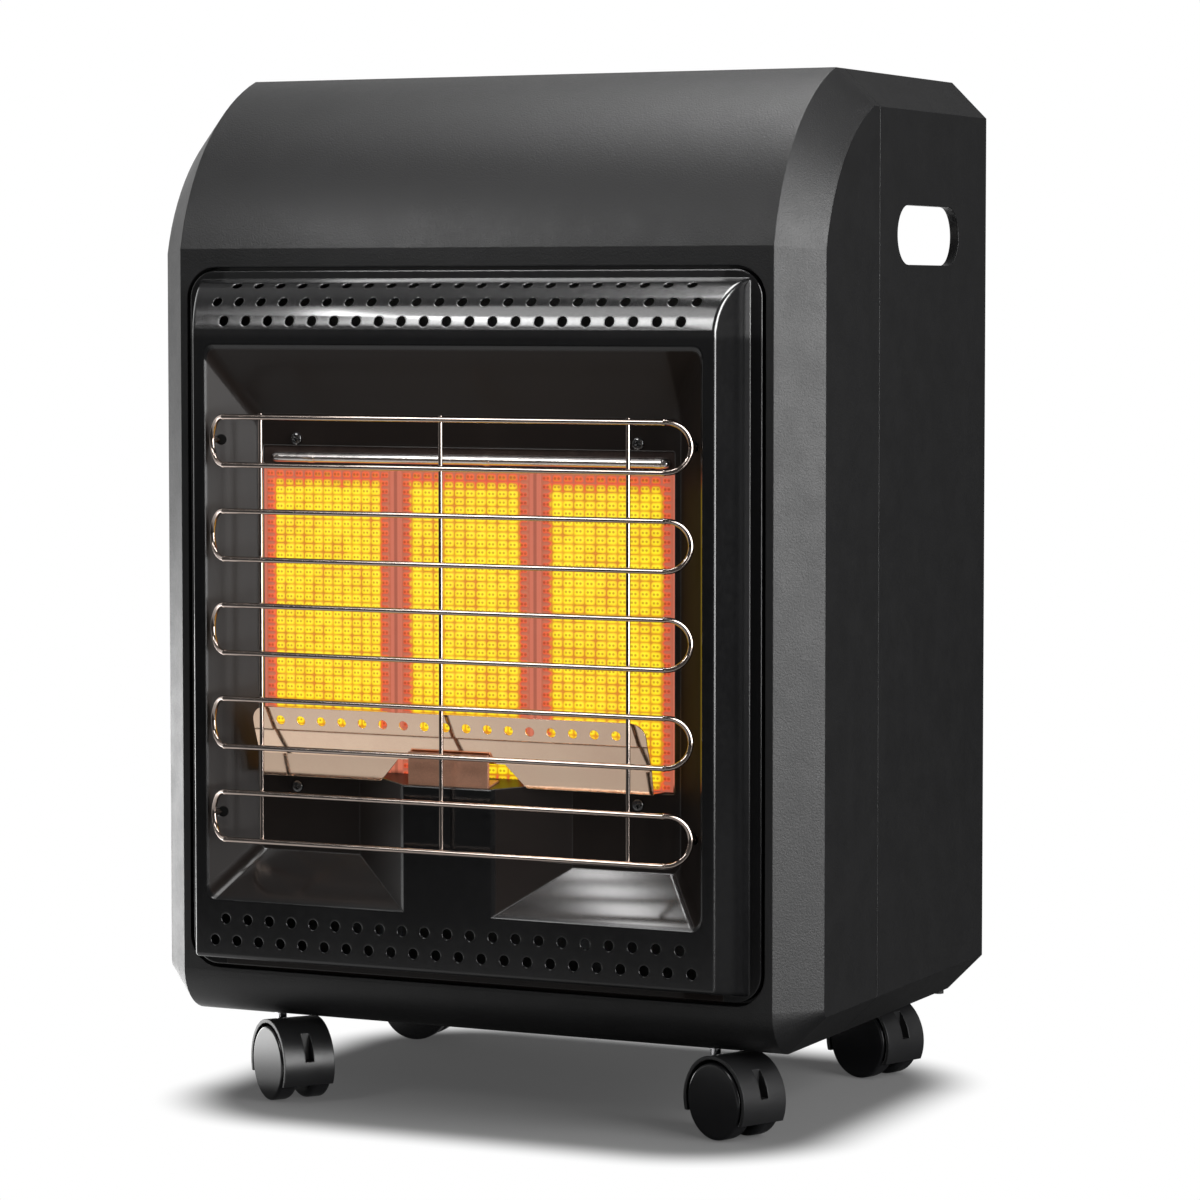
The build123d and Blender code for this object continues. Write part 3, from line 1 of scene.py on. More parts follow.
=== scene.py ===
import bpy
import numpy as np
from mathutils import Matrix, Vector


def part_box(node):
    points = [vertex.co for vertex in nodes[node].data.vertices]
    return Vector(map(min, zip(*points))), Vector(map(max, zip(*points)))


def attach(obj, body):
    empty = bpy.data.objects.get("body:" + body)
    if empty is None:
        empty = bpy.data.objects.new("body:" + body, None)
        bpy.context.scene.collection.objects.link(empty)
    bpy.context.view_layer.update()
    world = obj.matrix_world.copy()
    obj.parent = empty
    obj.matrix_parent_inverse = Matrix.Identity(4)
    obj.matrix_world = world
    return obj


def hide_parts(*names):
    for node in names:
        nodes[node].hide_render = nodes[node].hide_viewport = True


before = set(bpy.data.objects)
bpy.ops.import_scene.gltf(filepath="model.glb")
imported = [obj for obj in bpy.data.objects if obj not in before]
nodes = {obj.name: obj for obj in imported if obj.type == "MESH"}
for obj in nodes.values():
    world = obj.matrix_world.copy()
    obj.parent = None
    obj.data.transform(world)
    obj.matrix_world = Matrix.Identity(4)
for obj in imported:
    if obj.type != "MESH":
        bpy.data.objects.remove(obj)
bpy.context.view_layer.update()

# ------------------------------------------------------------------ camera, lamps and floor
# The heater stands on a white sweep in a dim room. A tall soft lamp and a weak fill stand at its right, a
# broad lamp hangs overhead, three small ones high at the front left, one low behind it at the left, and a
# narrow one, unseen by the camera, close in front of the recess.
scene = bpy.context.scene
scene.view_settings.view_transform = "Standard"

camera = bpy.data.objects.new("camera", bpy.data.cameras.new("camera"))
scene.collection.objects.link(camera)
camera.location = (1.1881, -2.44435, 0.509)
camera_aim = Vector((0.0968, -0.12905, 0.358))
camera.rotation_euler = (camera_aim - camera.location).to_track_quat("-Z", "Y").to_euler()
camera.data.sensor_width = 36.0
camera.data.lens = 126.43
camera.data.shift_x = -0.0078
camera.data.shift_y = -0.0398
scene.camera = camera


def soft_lamp(name, azimuth, elevation, distance, width, height, watts, aim=(0.0, 0.0, 0.33)):
    """A rectangular lamp, seen from the point it aims at in an azimuth (from -Y towards +X) and an
    elevation, both in degrees."""
    lamp = bpy.data.objects.new(name, bpy.data.lights.new(name, "AREA"))
    scene.collection.objects.link(lamp)
    lamp.data.shape = "RECTANGLE"
    lamp.data.size, lamp.data.size_y = width, height
    lamp.data.energy = watts
    turn, lift = np.radians(azimuth), np.radians(elevation)
    away = Vector((np.sin(turn) * np.cos(lift), -np.cos(turn) * np.cos(lift), np.sin(lift)))
    lamp.location = Vector(aim) + distance * away
    lamp.rotation_euler = (-away).to_track_quat("-Z", "Y").to_euler()
    return lamp


upper_front = (0.05, -0.15, 0.49)
right_pocket = (0.094, -0.1430, 0.1525)
soft_lamp("lamp_right", 74, 9, 2.5, 1.2, 2.8, 118)
soft_lamp("lamp_right_fill", 51, 2, 2.5, 0.22, 1.7, 9)
soft_lamp("lamp_overhead", 180, 84, 2.2, 1.25, 1.35, 38)
soft_lamp("lamp_front", -27, 29, 2.3, 0.60, 0.60, 9.5, aim=upper_front)
soft_lamp("lamp_front_upper", -34, 45, 2.3, 0.8, 0.60, 3.4, aim=upper_front)
soft_lamp("lamp_high_left", -50, 80, 2.3, 0.9, 0.7, 10, aim=(0.05, -0.15, 0.4))
soft_lamp("lamp_low_left", -121, 2, 1.5, 0.9, 0.22, 3.2, aim=(-0.2, -0.1, 0.03))
pocket_lamp = soft_lamp("lamp_pocket", -51.8, 58.3, 0.6, 0.16, 0.032, 0.18, aim=right_pocket)
pocket_lamp.visible_camera = False


def wire(tree, kind, settings=None, **sockets):
    """Adds a shader node, sets its properties, and sets or links its sockets by name, or by number as _0."""
    node = tree.nodes.new(kind)
    for key, value in (settings or {}).items():
        setattr(node, key, value)
    for key, value in sockets.items():
        numbered = key[0] == "_" and key[1:].isdigit()
        socket = node.inputs[int(key[1:]) if numbered else key.replace("_", " ")]
        if isinstance(value, bpy.types.NodeSocket):
            tree.links.new(value, socket)
        else:
            socket.default_value = value
    return node


def empty_tree(owner):
    """The emptied node tree of a material or a world."""
    owner.use_nodes = True
    owner.node_tree.nodes.clear()
    return owner.node_tree


def ramp_over(tree, value, low, high, from_value=0.0, to_value=1.0):
    """A smooth change from one number to another while value goes from low to high."""
    return wire(tree, "ShaderNodeMapRange", {"interpolation_type": "SMOOTHSTEP"}, Value=value, From_Min=low,
                From_Max=high, To_Min=from_value, To_Max=to_value).outputs["Result"]


def arithmetic(tree, operation, first, second=0.0):
    """One Math node's result."""
    return wire(tree, "ShaderNodeMath", {"operation": operation}, _0=first, _1=second).outputs[0]


def product(tree, first, *others):
    """The product of several numbers."""
    for other in others:
        first = arithmetic(tree, "MULTIPLY", first, other)
    return first


def largest(tree, first, *others):
    """The largest of several numbers."""
    for other in others:
        first = arithmetic(tree, "MAXIMUM", first, other)
    return first


def vector_math(tree, operation, first, second=(0.0, 0.0, 0.0), result="Vector"):
    """One Vector Math node's result."""
    return wire(tree, "ShaderNodeVectorMath", {"operation": operation}, _0=first, _1=second).outputs[result]


def parts_of(tree, vector):
    """A vector's three parts."""
    return wire(tree, "ShaderNodeSeparateXYZ", Vector=vector).outputs[:]


def object_place(tree):
    """The place of the shaded point on the object."""
    return wire(tree, "ShaderNodeTexCoord").outputs["Object"]


def mixed(tree, share, first, second):
    """A number that goes from first to second with the share."""
    return wire(tree, "ShaderNodeMix", {"data_type": "FLOAT"}, Factor=share, _2=first, _3=second).outputs[0]


def mixed_colour(tree, share, first, second, blend_type="MIX"):
    """A colour that goes from first to second, or to their blend, with the share."""
    return wire(tree, "ShaderNodeMix", {"data_type": "RGBA", "blend_type": blend_type}, Factor=share, _6=first,
                _7=second).outputs[2]


# the room is white to the camera and, behind the heater at its left, in reflections; elsewhere it is dim
world = bpy.data.worlds.new("studio")
scene.world = world
sky = empty_tree(world)
ray = wire(sky, "ShaderNodeLightPath").outputs
toward_x, toward_y, toward_z = parts_of(sky, wire(sky, "ShaderNodeTexCoord").outputs["Generated"])
seen = largest(sky, ray["Is Camera Ray"], ray["Is Transmission Ray"])
behind_left = product(sky, ramp_over(sky, toward_z, 0.45, 0.75, 1.0, 0.1), ramp_over(sky, toward_y, -0.5, 0.2),
                      ramp_over(sky, toward_x, -0.45, -0.05, 1.0, 0.0))
mirrored = product(sky, ray["Is Glossy Ray"], behind_left)
dim_room, mirrored_dimming = 0.14, 0.05
room = arithmetic(sky, "SUBTRACT", dim_room, product(sky, ray["Is Glossy Ray"], mirrored_dimming))
backdrop = mixed(sky, largest(sky, seen, mirrored), room, 1.0)
white = wire(sky, "ShaderNodeBackground", Color=(1, 1, 1, 1), Strength=backdrop)
wire(sky, "ShaderNodeOutputWorld", Surface=white.outputs[0])

paper = bpy.data.materials.new("white_paper")
tree = empty_tree(paper)
ray = wire(tree, "ShaderNodeLightPath").outputs
place = object_place(tree)
to_right, to_back, _ = parts_of(tree, place)
# in reflections the floor is pale in a strip close in front of the heater, white behind it at its left and
# dark elsewhere
mirrored = product(tree, ramp_over(tree, to_back, -0.8, 0.1), ramp_over(tree, to_right, -0.3, 0.1, 1.0, 0.0))
in_front = product(tree, ramp_over(tree, to_back, -0.75, -0.6),
                   ramp_over(tree, to_back, -0.25, -0.20, 1.0, 0.0),
                   ramp_over(tree, to_right, 0.5, 0.7, 1.0, 0.0))
dimmed = product(tree, ray["Is Glossy Ray"], ramp_over(tree, in_front, 0.0, 1.0, 0.12, -0.12))
paper_grey = 0.17
grey = arithmetic(tree, "SUBTRACT", paper_grey, dimmed)
fibre = wire(tree, "ShaderNodeTexNoise", Vector=place, Scale=900.0, Detail=4.0)
fibre_bump = wire(tree, "ShaderNodeBump", Strength=0.05, Distance=0.0002, Height=fibre.outputs["Fac"])
matt = wire(tree, "ShaderNodeBsdfPrincipled", Roughness=0.9, Specular_IOR_Level=0.1,
            Base_Color=wire(tree, "ShaderNodeCombineColor", Red=grey, Green=grey, Blue=grey).outputs[0],
            Normal=fibre_bump.outputs[0])
# how far a place lies outside the heater's footprint: near it the floor stays grey, a painted shadow in which
# the lamps' shadow also falls, while the rest burns out white
footprint_middle, footprint_half = (0.012, 0.0, 0.0), (0.120, 0.087, 0.0)
from_middle = vector_math(tree, "ABSOLUTE", vector_math(tree, "SUBTRACT", place, footprint_middle))
outside = vector_math(tree, "MAXIMUM", vector_math(tree, "SUBTRACT", from_middle, footprint_half))
reach = vector_math(tree, "LENGTH", outside, result="Value")
seen = largest(tree, ray["Is Camera Ray"], ray["Is Transmission Ray"])
white_beyond_painted_shadow = product(tree, ramp_over(tree, reach, 0.070, 0.128, 0.062, 1.0),
                    largest(tree, seen, product(tree, ray["Is Glossy Ray"], mirrored)))
near_left = product(tree, ramp_over(tree, reach, 0.9, 1.6, 3.4, 0.0), ray["Is Glossy Ray"],
                    ramp_over(tree, to_right, -0.40, -0.22, 1.0, 0.0),
                    ramp_over(tree, to_back, -0.30, -0.05))
bright = wire(tree, "ShaderNodeEmission", Color=(1, 1, 1, 1),
              Strength=arithmetic(tree, "ADD", near_left, 1.0))
sweep = wire(tree, "ShaderNodeMixShader", _0=white_beyond_painted_shadow, _1=matt.outputs[0], _2=bright.outputs[0])
wire(tree, "ShaderNodeOutputMaterial", Surface=sweep.outputs[0])


def grid_faces(rows, columns, wrap_columns=False, flip=False):
    """Quads between neighbouring points of a grid whose points are counted along the columns first."""
    i = np.arange(rows - 1)[:, None]
    j = np.arange(columns if wrap_columns else columns - 1)[None, :]
    k, m = i + 1, (j + 1) % columns
    corners = (i * columns + j, i * columns + m, k * columns + m, k * columns + j)
    quads = np.stack(np.broadcast_arrays(*corners), -1).reshape(-1, 4)
    return quads[:, ::-1] if flip else quads


def mesh_piece(name, points, faces, material):
    """An object with a mesh of these points and faces, in one material."""
    mesh = bpy.data.meshes.new(name)
    mesh.from_pydata(np.reshape(points, (-1, 3)).tolist(), [], faces)
    mesh.materials.append(material)
    piece = bpy.data.objects.new(name, mesh)
    scene.collection.objects.link(piece)
    return piece


floor_line = np.linspace(-8.0, 8.0, 9)
floor_x, floor_y = np.meshgrid(floor_line, floor_line)
floor_points = np.stack([floor_x, floor_y, 0 * floor_x], -1)
floor = mesh_piece("floor", floor_points, grid_faces(floor_line.size, floor_line.size).tolist(), paper)

# ------------------------------------------------------------------ base pan and tip switch
# The base pan is a flat plate of plated steel that carries the casters. The tip switch is a moulded box
# screwed on it, which shuts the gas off when the heater falls over.


def finish(name, colour, roughness, metallic=0.0, specular=0.5, mottle=0.12, mottle_size=0.04,
           grain_size=0.0006, grain_depth=0.00002, scuff=0.06, stretch=(1, 1, 1), round_edge=0.0,
           edge_samples=4, coat=0.0, coat_roughness=0.04):
    """A painted, moulded or metal finish: cloudy colour, fine grain in relief and in the roughness, and edges
    rounded by a radius."""
    material = bpy.data.materials.new(name)
    tree = empty_tree(material)
    place = object_place(tree)
    drawn = wire(tree, "ShaderNodeMapping", Vector=place, Scale=stretch).outputs[0]
    cloud = wire(tree, "ShaderNodeTexNoise", Vector=place, Scale=1 / mottle_size, Detail=5.0, Roughness=0.6)
    grain = wire(tree, "ShaderNodeTexNoise", Vector=drawn, Scale=1 / grain_size, Detail=3.0, Roughness=0.55)
    both = arithmetic(tree, "ADD", product(tree, cloud.outputs["Fac"], 0.5),
                      product(tree, grain.outputs["Fac"], 0.5))
    noise_low, noise_high = 0.36, 0.64
    darker = (*[c * (1 - mottle) for c in colour], 1)
    paler = (*[min(1.0, c * (1 + mottle)) for c in colour], 1)
    tint = mixed_colour(tree, ramp_over(tree, both, noise_low, noise_high), darker, paler)
    rough = ramp_over(tree, both, noise_low, noise_high, max(0.02, roughness - scuff),
                      min(1.0, roughness + scuff))
    bump = wire(tree, "ShaderNodeBump", Strength=1.0, Distance=grain_depth, Height=grain.outputs["Fac"])
    if round_edge:
        soft = wire(tree, "ShaderNodeBevel", {"samples": edge_samples}, Radius=round_edge)
        tree.links.new(soft.outputs[0], bump.inputs["Normal"])
    shader = wire(tree, "ShaderNodeBsdfPrincipled", Base_Color=tint, Roughness=rough, Metallic=metallic,
                  Specular_IOR_Level=specular, Coat_Weight=coat, Coat_Roughness=coat_roughness,
                  Normal=bump.outputs[0])
    wire(tree, "ShaderNodeOutputMaterial", Surface=shader.outputs[0])
    return material


def dress(material, *names):
    """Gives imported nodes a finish."""
    for name in names:
        nodes[name].data.materials.clear()
        nodes[name].data.materials.append(material)


zinc = finish("zinc_plate", (0.55, 0.56, 0.58), 0.38, metallic=1.0, mottle_size=0.008)
moulded_black = finish("moulded_black", (0.018, 0.018, 0.019), 0.45, mottle=0.1, grain_depth=0.00003)
dress(zinc, "base_pan", "caster_nuts", "manifold_bracket", "panel_nuts", "shell_screws")
dress(moulded_black, "tip_switch")

# ------------------------------------------------------------------ casters
# Four twin-wheel casters: a moulded nylon hood over two glossy hard wheels on a steel axle, on a chromed
# stem that passes the base and is held by a nut.
caster_nylon = finish("caster_nylon", (0.010, 0.010, 0.0105), 0.36, mottle=0.1, grain_size=0.0005,
                      round_edge=0.0009)
caster_gloss = finish("caster_gloss", (0.010, 0.010, 0.011), 0.16, mottle=0.1, grain_depth=0.000004,
                      round_edge=0.0006)
axle_steel = finish("axle_steel", (0.6, 0.6, 0.62), 0.25, metallic=1.0)
stem_chrome = finish("stem_chrome", (0.78, 0.78, 0.8), 0.12, metallic=1.0, mottle=0.05)
for corner in ("fl", "fr", "rl", "rr"):
    dress(caster_nylon, f"caster_hood_{corner}")
    dress(caster_gloss, f"caster_wheels_{corner}")
    dress(axle_steel, f"caster_axle_{corner}")
dress(stem_chrome, "caster_stems")

# ------------------------------------------------------------------ cabinet shells
# Front and rear half of the cabinet, folded from steel sheet and powder-coated in a satin dark grey with
# a fine texture. They lap at the side seam. Two rubber bumpers sit under the rear edge.
powder_coat = finish("satin_powder_coat", (0.0052, 0.0052, 0.0055), 0.46, mottle=0.06, mottle_size=0.02,
                     grain_size=0.0011, grain_depth=0.00015, scuff=0.035, round_edge=0.0008)
dress(powder_coat, "front_shell", "rear_shell")
dress(finish("bumper_rubber", (0.012, 0.012, 0.012), 0.7, grain_depth=0.00005), "rear_bumpers")

# ------------------------------------------------------------------ burner boxes, gaskets and bulkhead
# Pressed boxes of aluminised steel with a mixing tube each, a white fibre gasket round each plaque, and
# a sheet bulkhead behind them that keeps the heat from the gas bottle.
aluminised = finish("aluminised_sheet", (0.5, 0.49, 0.47), 0.42, metallic=1.0, mottle=0.08, mottle_size=0.006,
                    scuff=0.05)
dress(aluminised, "burner_box_left", "burner_box_centre", "burner_box_right", "heat_shield")
dress(finish("fibre", (0.62, 0.55, 0.47), 0.95, specular=0.1, mottle=0.15, grain_size=0.0004,
             grain_depth=0.0001), "plaque_gaskets")

# ------------------------------------------------------------------ gas train
# Square steel manifold with three brass jets, aluminium supply and pilot tubes, the die-cast valve with
# its brass inlet, the thermocouple's copper lead, and the igniter's ceramic electrode and silicone lead.
brass = finish("brass", (0.72, 0.50, 0.20), 0.26, metallic=1.0, mottle=0.14, mottle_size=0.01)
dress(finish("manifold_steel", (0.5, 0.5, 0.52), 0.4, metallic=1.0, mottle=0.2, mottle_size=0.015),
      "gas_manifold")
dress(brass, "gas_jets", "inlet_fitting", "pilot_burner")
dress(finish("aluminium_tube", (0.72, 0.72, 0.73), 0.33, metallic=1.0, mottle=0.1), "supply_tube",
      "pilot_tube")
dress(finish("valve_casting", (0.55, 0.54, 0.52), 0.5, metallic=1.0, mottle=0.15, grain_size=0.0012,
             grain_depth=0.0001), "gas_valve")
dress(finish("thermocouple_copper", (0.75, 0.38, 0.22), 0.3, metallic=1.0, mottle=0.2), "thermocouple")
dress(finish("electrode_ceramic", (0.8, 0.78, 0.72), 0.3, mottle=0.06), "igniter_electrode")
dress(finish("silicone_lead", (0.50, 0.06, 0.04), 0.55, mottle=0.06), "ignition_lead")

# ------------------------------------------------------------------ burner plaques
# Three pressed ceramic plaques, perforated with pairs of flame ports in raised pads, glowing yellow to
# orange-red towards their cooler edges.
glow = bpy.data.materials.new("lit_ceramic")
tree = empty_tree(glow)
heat = wire(tree, "ShaderNodeAttribute", {"attribute_name": "plaque_glow"}).outputs["Fac"]
groove = wire(tree, "ShaderNodeAttribute", {"attribute_name": "plaque_groove"}).outputs["Fac"]
pad_place = wire(tree, "ShaderNodeUVMap", {"uv_map": "pads"}).outputs[0]
pad_across, pad_up, _ = parts_of(tree, vector_math(tree, "FRACTION", pad_place))
# two flame ports in each pad: the distance to the nearer one, in pad widths
port_offset, pad_proportion = 0.17, 0.76
off_pad = arithmetic(tree, "ABSOLUTE", arithmetic(tree, "SUBTRACT", pad_across, 0.5))
port_x = arithmetic(tree, "SUBTRACT", off_pad, port_offset)
port_z = product(tree, arithmetic(tree, "SUBTRACT", pad_up, 0.5), pad_proportion)
port_far = arithmetic(tree, "SQRT", arithmetic(tree, "ADD", product(tree, port_x, port_x),
                                               product(tree, port_z, port_z)))
port = ramp_over(tree, port_far, 0.07, 0.165, 1.0, 0.0)
# the grooves are cooler than the pads, and the flame flickers
flicker = wire(tree, "ShaderNodeTexNoise", Vector=object_place(tree), Scale=70.0, Detail=3.0, Roughness=0.6)
flicker_change = ramp_over(tree, flicker.outputs["Fac"], 0.3, 0.7, -0.09, 0.09)
pad_heat = arithmetic(tree, "SUBTRACT", heat, product(tree, groove, 0.5))
colour = wire(tree, "ShaderNodeValToRGB", Fac=arithmetic(tree, "ADD", pad_heat, flicker_change))
stops = [(0.0, (0.42, 0.110, 0.070)), (0.14, (0.66, 0.075, 0.040)), (0.32, (0.78, 0.110, 0.030)),
         (0.48, (0.56, 0.230, 0.008)), (0.74, (0.92, 0.640, 0.008)), (1.0, (1.0, 0.880, 0.018))]
for index, (stop, shade) in enumerate(stops):
    element = colour.color_ramp.elements[index] if index < 2 else colour.color_ramp.elements.new(stop)
    element.position, element.color = stop, (*shade, 1)
lit = mixed_colour(tree, product(tree, port, 0.9), colour.outputs["Color"], (0.50, 0.36, 0.20, 1), "MULTIPLY")
ceramic = wire(tree, "ShaderNodeBsdfPrincipled", Base_Color=(0.22, 0.10, 0.05, 1), Roughness=0.9,
               Specular_IOR_Level=0.1, Emission_Color=lit, Emission_Strength=1.0,
               Normal=wire(tree, "ShaderNodeBump", Strength=0.6, Distance=0.0006, Height=port_far).outputs[0])
wire(tree, "ShaderNodeOutputMaterial", Surface=ceramic.outputs[0])


def pressed_plaque(name, node, columns, rows, groove_depth=0.0010, per_column=9, per_row=7):
    """A slab whose face is a grid of pads: the face lies groove_depth lower where the distances to the pad's
    middle, across and up, as the fourth root of the sum of their fourth powers, pass 0.50 of the half pad,
    rounding over to 0.92. The glow falls to a fifth over the outer column of pads, from 7.6 mm to 4.6 mm off
    the side edges, and again over the last 1.6 mm. It falls to a third from 11.5 mm to 2.5 mm off the top,
    and to two fifths over the last 6 mm above the foot."""
    low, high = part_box(node)
    u = np.linspace(0, columns, columns * per_column + 1)[None, :]
    v = np.linspace(0, rows, rows * per_row + 1)[:, None]
    across, up = 2 * (u % 1) - 1, 2 * (v % 1) - 1
    across[:, -1], up[-1] = -1, -1
    square = ((0.93 * across) ** 4 + up ** 4) ** 0.25
    pad_flat, pad_rounding = 0.50, 0.42
    dip = np.clip((square - pad_flat) / pad_rounding, 0, 1) ** 1.3
    x = low.x + (high.x - low.x) * u / columns + 0 * v
    z = low.z + (high.z - low.z) * v / rows + 0 * u
    y = low.y + groove_depth * dip
    edge = np.minimum(x - low.x, high.x - x) * 1000
    top, foot = (high.z - z) * 1000, (z - low.z) * 1000
    warm = np.clip((edge - 4.6) / 3.0, 0, 1)
    glow_share = (0.2 + 0.8 * warm * warm * (3 - 2 * warm)) * np.clip(edge / 1.6, 0.25, 1)
    glow_share = np.minimum(glow_share, 0.34 + 0.66 * np.clip((top - 2.5) / 9, 0, 1))
    glow_share = np.minimum(glow_share, np.clip((foot + 4) / 10, 0, 1))
    # the face is folded back over its border to the slab's back, which is one face; the quads at the four
    # corners would be flat
    pad = lambda a: np.pad(a, 1, mode="edge")
    back = np.pad(y, 1, constant_values=high.y)
    tall, wide = back.shape
    corners = [0, wide - 2, (tall - 2) * (wide - 1), (tall - 1) * (wide - 1) - 1]
    quads = np.delete(grid_faces(tall, wide), corners, axis=0)
    index = np.arange(tall * wide).reshape(tall, wide)
    rim = np.concatenate([index[1:-1, 0], index[-1, 1:-1], index[1:-1, -1][::-1], index[0, 1:-1][::-1]])
    piece = mesh_piece(name, np.stack([pad(x), back, pad(z)], -1), quads.tolist() + [rim.tolist()], glow)
    mesh = piece.data
    for title, values in (("plaque_glow", pad(glow_share)), ("plaque_groove", pad(dip))):
        mesh.attributes.new(title, "FLOAT", "POINT").data.foreach_set("value", values.ravel())
    corner_vertex = np.empty(len(mesh.loops), int)
    mesh.loops.foreach_get("vertex_index", corner_vertex)
    pads = np.stack([pad(u + 0 * v), pad(v + 0 * u)], -1).reshape(-1, 2)[corner_vertex]
    mesh.uv_layers.new(name="pads").data.foreach_set("uv", pads.ravel())
    mesh.shade_smooth()
    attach(piece, "chassis")
    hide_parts(node)


pressed_plaque("plaque_left", "burner_plaque_left", 13, 37)
pressed_plaque("plaque_centre", "burner_plaque_centre", 12, 37)
pressed_plaque("plaque_right", "burner_plaque_right", 12, 36)
dress(glow, "burner_plaque_left", "burner_plaque_centre", "burner_plaque_right")

# ------------------------------------------------------------------ burner frame
# Stamped steel, dark above and below the plaques, with a painted glow of dull pink-red where its bars run
# between them.


def shader_of(material):
    """A finish's node tree and its shader."""
    tree = material.node_tree
    return tree, next(node for node in tree.nodes if node.type == "BSDF_PRINCIPLED")


frame_painted_glow = finish("heated_steel", (0.040, 0.026, 0.022), 0.42, metallic=0.4, mottle=0.25, mottle_size=0.01)
tree, shader = shader_of(frame_painted_glow)
to_right, _, height = parts_of(tree, object_place(tree))
low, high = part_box("burner_plaque_left")
beside_plaques = product(tree, ramp_over(tree, height, high.z, high.z + 0.002, 1.0, 0.0),
                         ramp_over(tree, height, low.z + 0.001, low.z + 0.006))
# the painted glow on each bar is a little darker along its middle
bar_middle = 0.0483
off_bar = arithmetic(tree, "SUBTRACT", arithmetic(tree, "ABSOLUTE", to_right), bar_middle)
painted_bar_glow = ramp_over(tree, arithmetic(tree, "ABSOLUTE", off_bar), 0.0006, 0.0016, 0.62, 0.95)
# painted glow: the steel bars emit a dull pink-red beside the plaques, though they are no lamp
shader.inputs["Emission Color"].default_value = (0.64, 0.175, 0.110, 1)
tree.links.new(product(tree, beside_plaques, painted_bar_glow), shader.inputs["Emission Strength"])
dress(frame_painted_glow, "burner_frame")

# ------------------------------------------------------------------ front panel
# Deep-drawn steel panel in black gloss enamel: curved vented crown, recess with two sloping pockets,
# vented foot strip. Four black cross-head screws hold the burner frame behind it.
enamel = finish("black_enamel", (0.0048, 0.0048, 0.0051), 0.19, mottle=0.1, mottle_size=0.06, grain_size=0.004,
                grain_depth=0.000006, scuff=0.03, round_edge=0.0013, edge_samples=8, coat=0.8,
                coat_roughness=0.17)
tree, shader = shader_of(enamel)
to_right, to_back, height = parts_of(tree, object_place(tree))
off_middle = arithmetic(tree, "ABSOLUTE", to_right)
# the regions: inside the recess, its right wall, the panel's rim, the crown and the floors of the pockets
face_to_recess, crown_to_recess, side_to_rim = (-0.1572, -0.1560), (0.480, 0.484), (0.1725, 0.1735)
inside = product(tree, ramp_over(tree, to_back, *face_to_recess),
                 ramp_over(tree, height, *crown_to_recess, 1.0, 0.0),
                 ramp_over(tree, off_middle, *side_to_rim, 1.0, 0.0))
right_wall = product(tree, inside, ramp_over(tree, to_right, 0.142, 0.150))
flange = product(tree, ramp_over(tree, off_middle, *side_to_rim), ramp_over(tree, to_back, -0.140, -0.134))
outer_rim = largest(tree, ramp_over(tree, off_middle, 0.1835, 0.1865), flange)
crown = ramp_over(tree, height, 0.486, 0.492)
flat = wire(tree, "ShaderNodeNewGeometry").outputs["Normal"]
facing_up = parts_of(tree, flat)[2]
pocket_floor = product(tree, inside, ramp_over(tree, facing_up, 0.45, 0.55),
                       ramp_over(tree, height, 0.17, 0.19, 1.0, 0.0))
# the bent edges, found by how far rounding turns the surface there
rounded = next(node for node in tree.nodes if node.type == "BEVEL").outputs[0]
bend = ramp_over(tree, vector_math(tree, "DISTANCE", rounded, flat, result="Value"), 0.10, 0.36)
kept_gloss = largest(tree, bend, pocket_floor)
# the heat has dulled the gloss inside the recess; the rounded edges and the pocket floors have kept it
plain_roughness = shader.inputs["Roughness"].links[0].from_socket
dulled = mixed(tree, inside, plain_roughness, ramp_over(tree, right_wall, 0.0, 1.0, 0.32, 0.65))
tree.links.new(ramp_over(tree, kept_gloss, 0.0, 1.0, dulled, 0.15), shader.inputs["Roughness"])
dull_share = largest(tree, right_wall, product(tree, inside, 0.55), product(tree, outer_rim, 0.7))
dull_share = product(tree, dull_share, arithmetic(tree, "SUBTRACT", 1.0, kept_gloss))
glossier = product(tree, largest(tree, crown, pocket_floor), 0.5)
tree.links.new(arithmetic(tree, "ADD", glossier, ramp_over(tree, dull_share, 0.0, 1.0, 0.5, 0.12)),
               shader.inputs["Specular IOR Level"])
off_recess = arithmetic(tree, "SUBTRACT", 1.0, largest(tree, inside, outer_rim))
tree.links.new(product(tree, off_recess, ramp_over(tree, crown, 0.0, 1.0, 0.35, 0.9)),
               shader.inputs["Coat Weight"])
# the heat has browned the black a little too, and the bent edges away from the holes carry a painted highlight
# in a paler grey
plain_colour = shader.inputs["Base Color"].links[0].from_socket
browned = mixed_colour(tree, inside, plain_colour, (0.011, 0.0078, 0.0066, 1))
off_holes = product(tree, ramp_over(tree, height, 0.1305, 0.1310),
                    ramp_over(tree, height, 0.486, 0.487, 1.0, 0.0))
# painted highlight: the bent edges away from the holes and the outer rim are mixed towards a paler grey
painted_edge_highlight_share = product(tree, bend, off_holes, ramp_over(tree, off_middle, 0.180, 0.182, 1.0, 0.0))
edge_highlight_colour = mixed_colour(tree, painted_edge_highlight_share, browned, (0.075, 0.073, 0.072, 1))
tree.links.new(edge_highlight_colour, shader.inputs["Base Color"])
dress(enamel, "front_panel")


def smooth_below(piece, degrees):
    """Shades a piece smooth, except over edges that bend by more than this."""
    piece.data.shade_smooth()
    piece.data.set_sharp_from_angle(angle=np.radians(degrees))


def capped_rings(rings, around, start=0, flip=False):
    """Quads between rings of points, and a flat face over the first ring and over the last."""
    quads = grid_faces(rings, around, wrap_columns=True, flip=flip) + start
    first = (np.arange(around) + start)[::-1].tolist()
    last = (np.arange(around) + start + (rings - 1) * around).tolist()
    return quads.tolist() + [first, last]


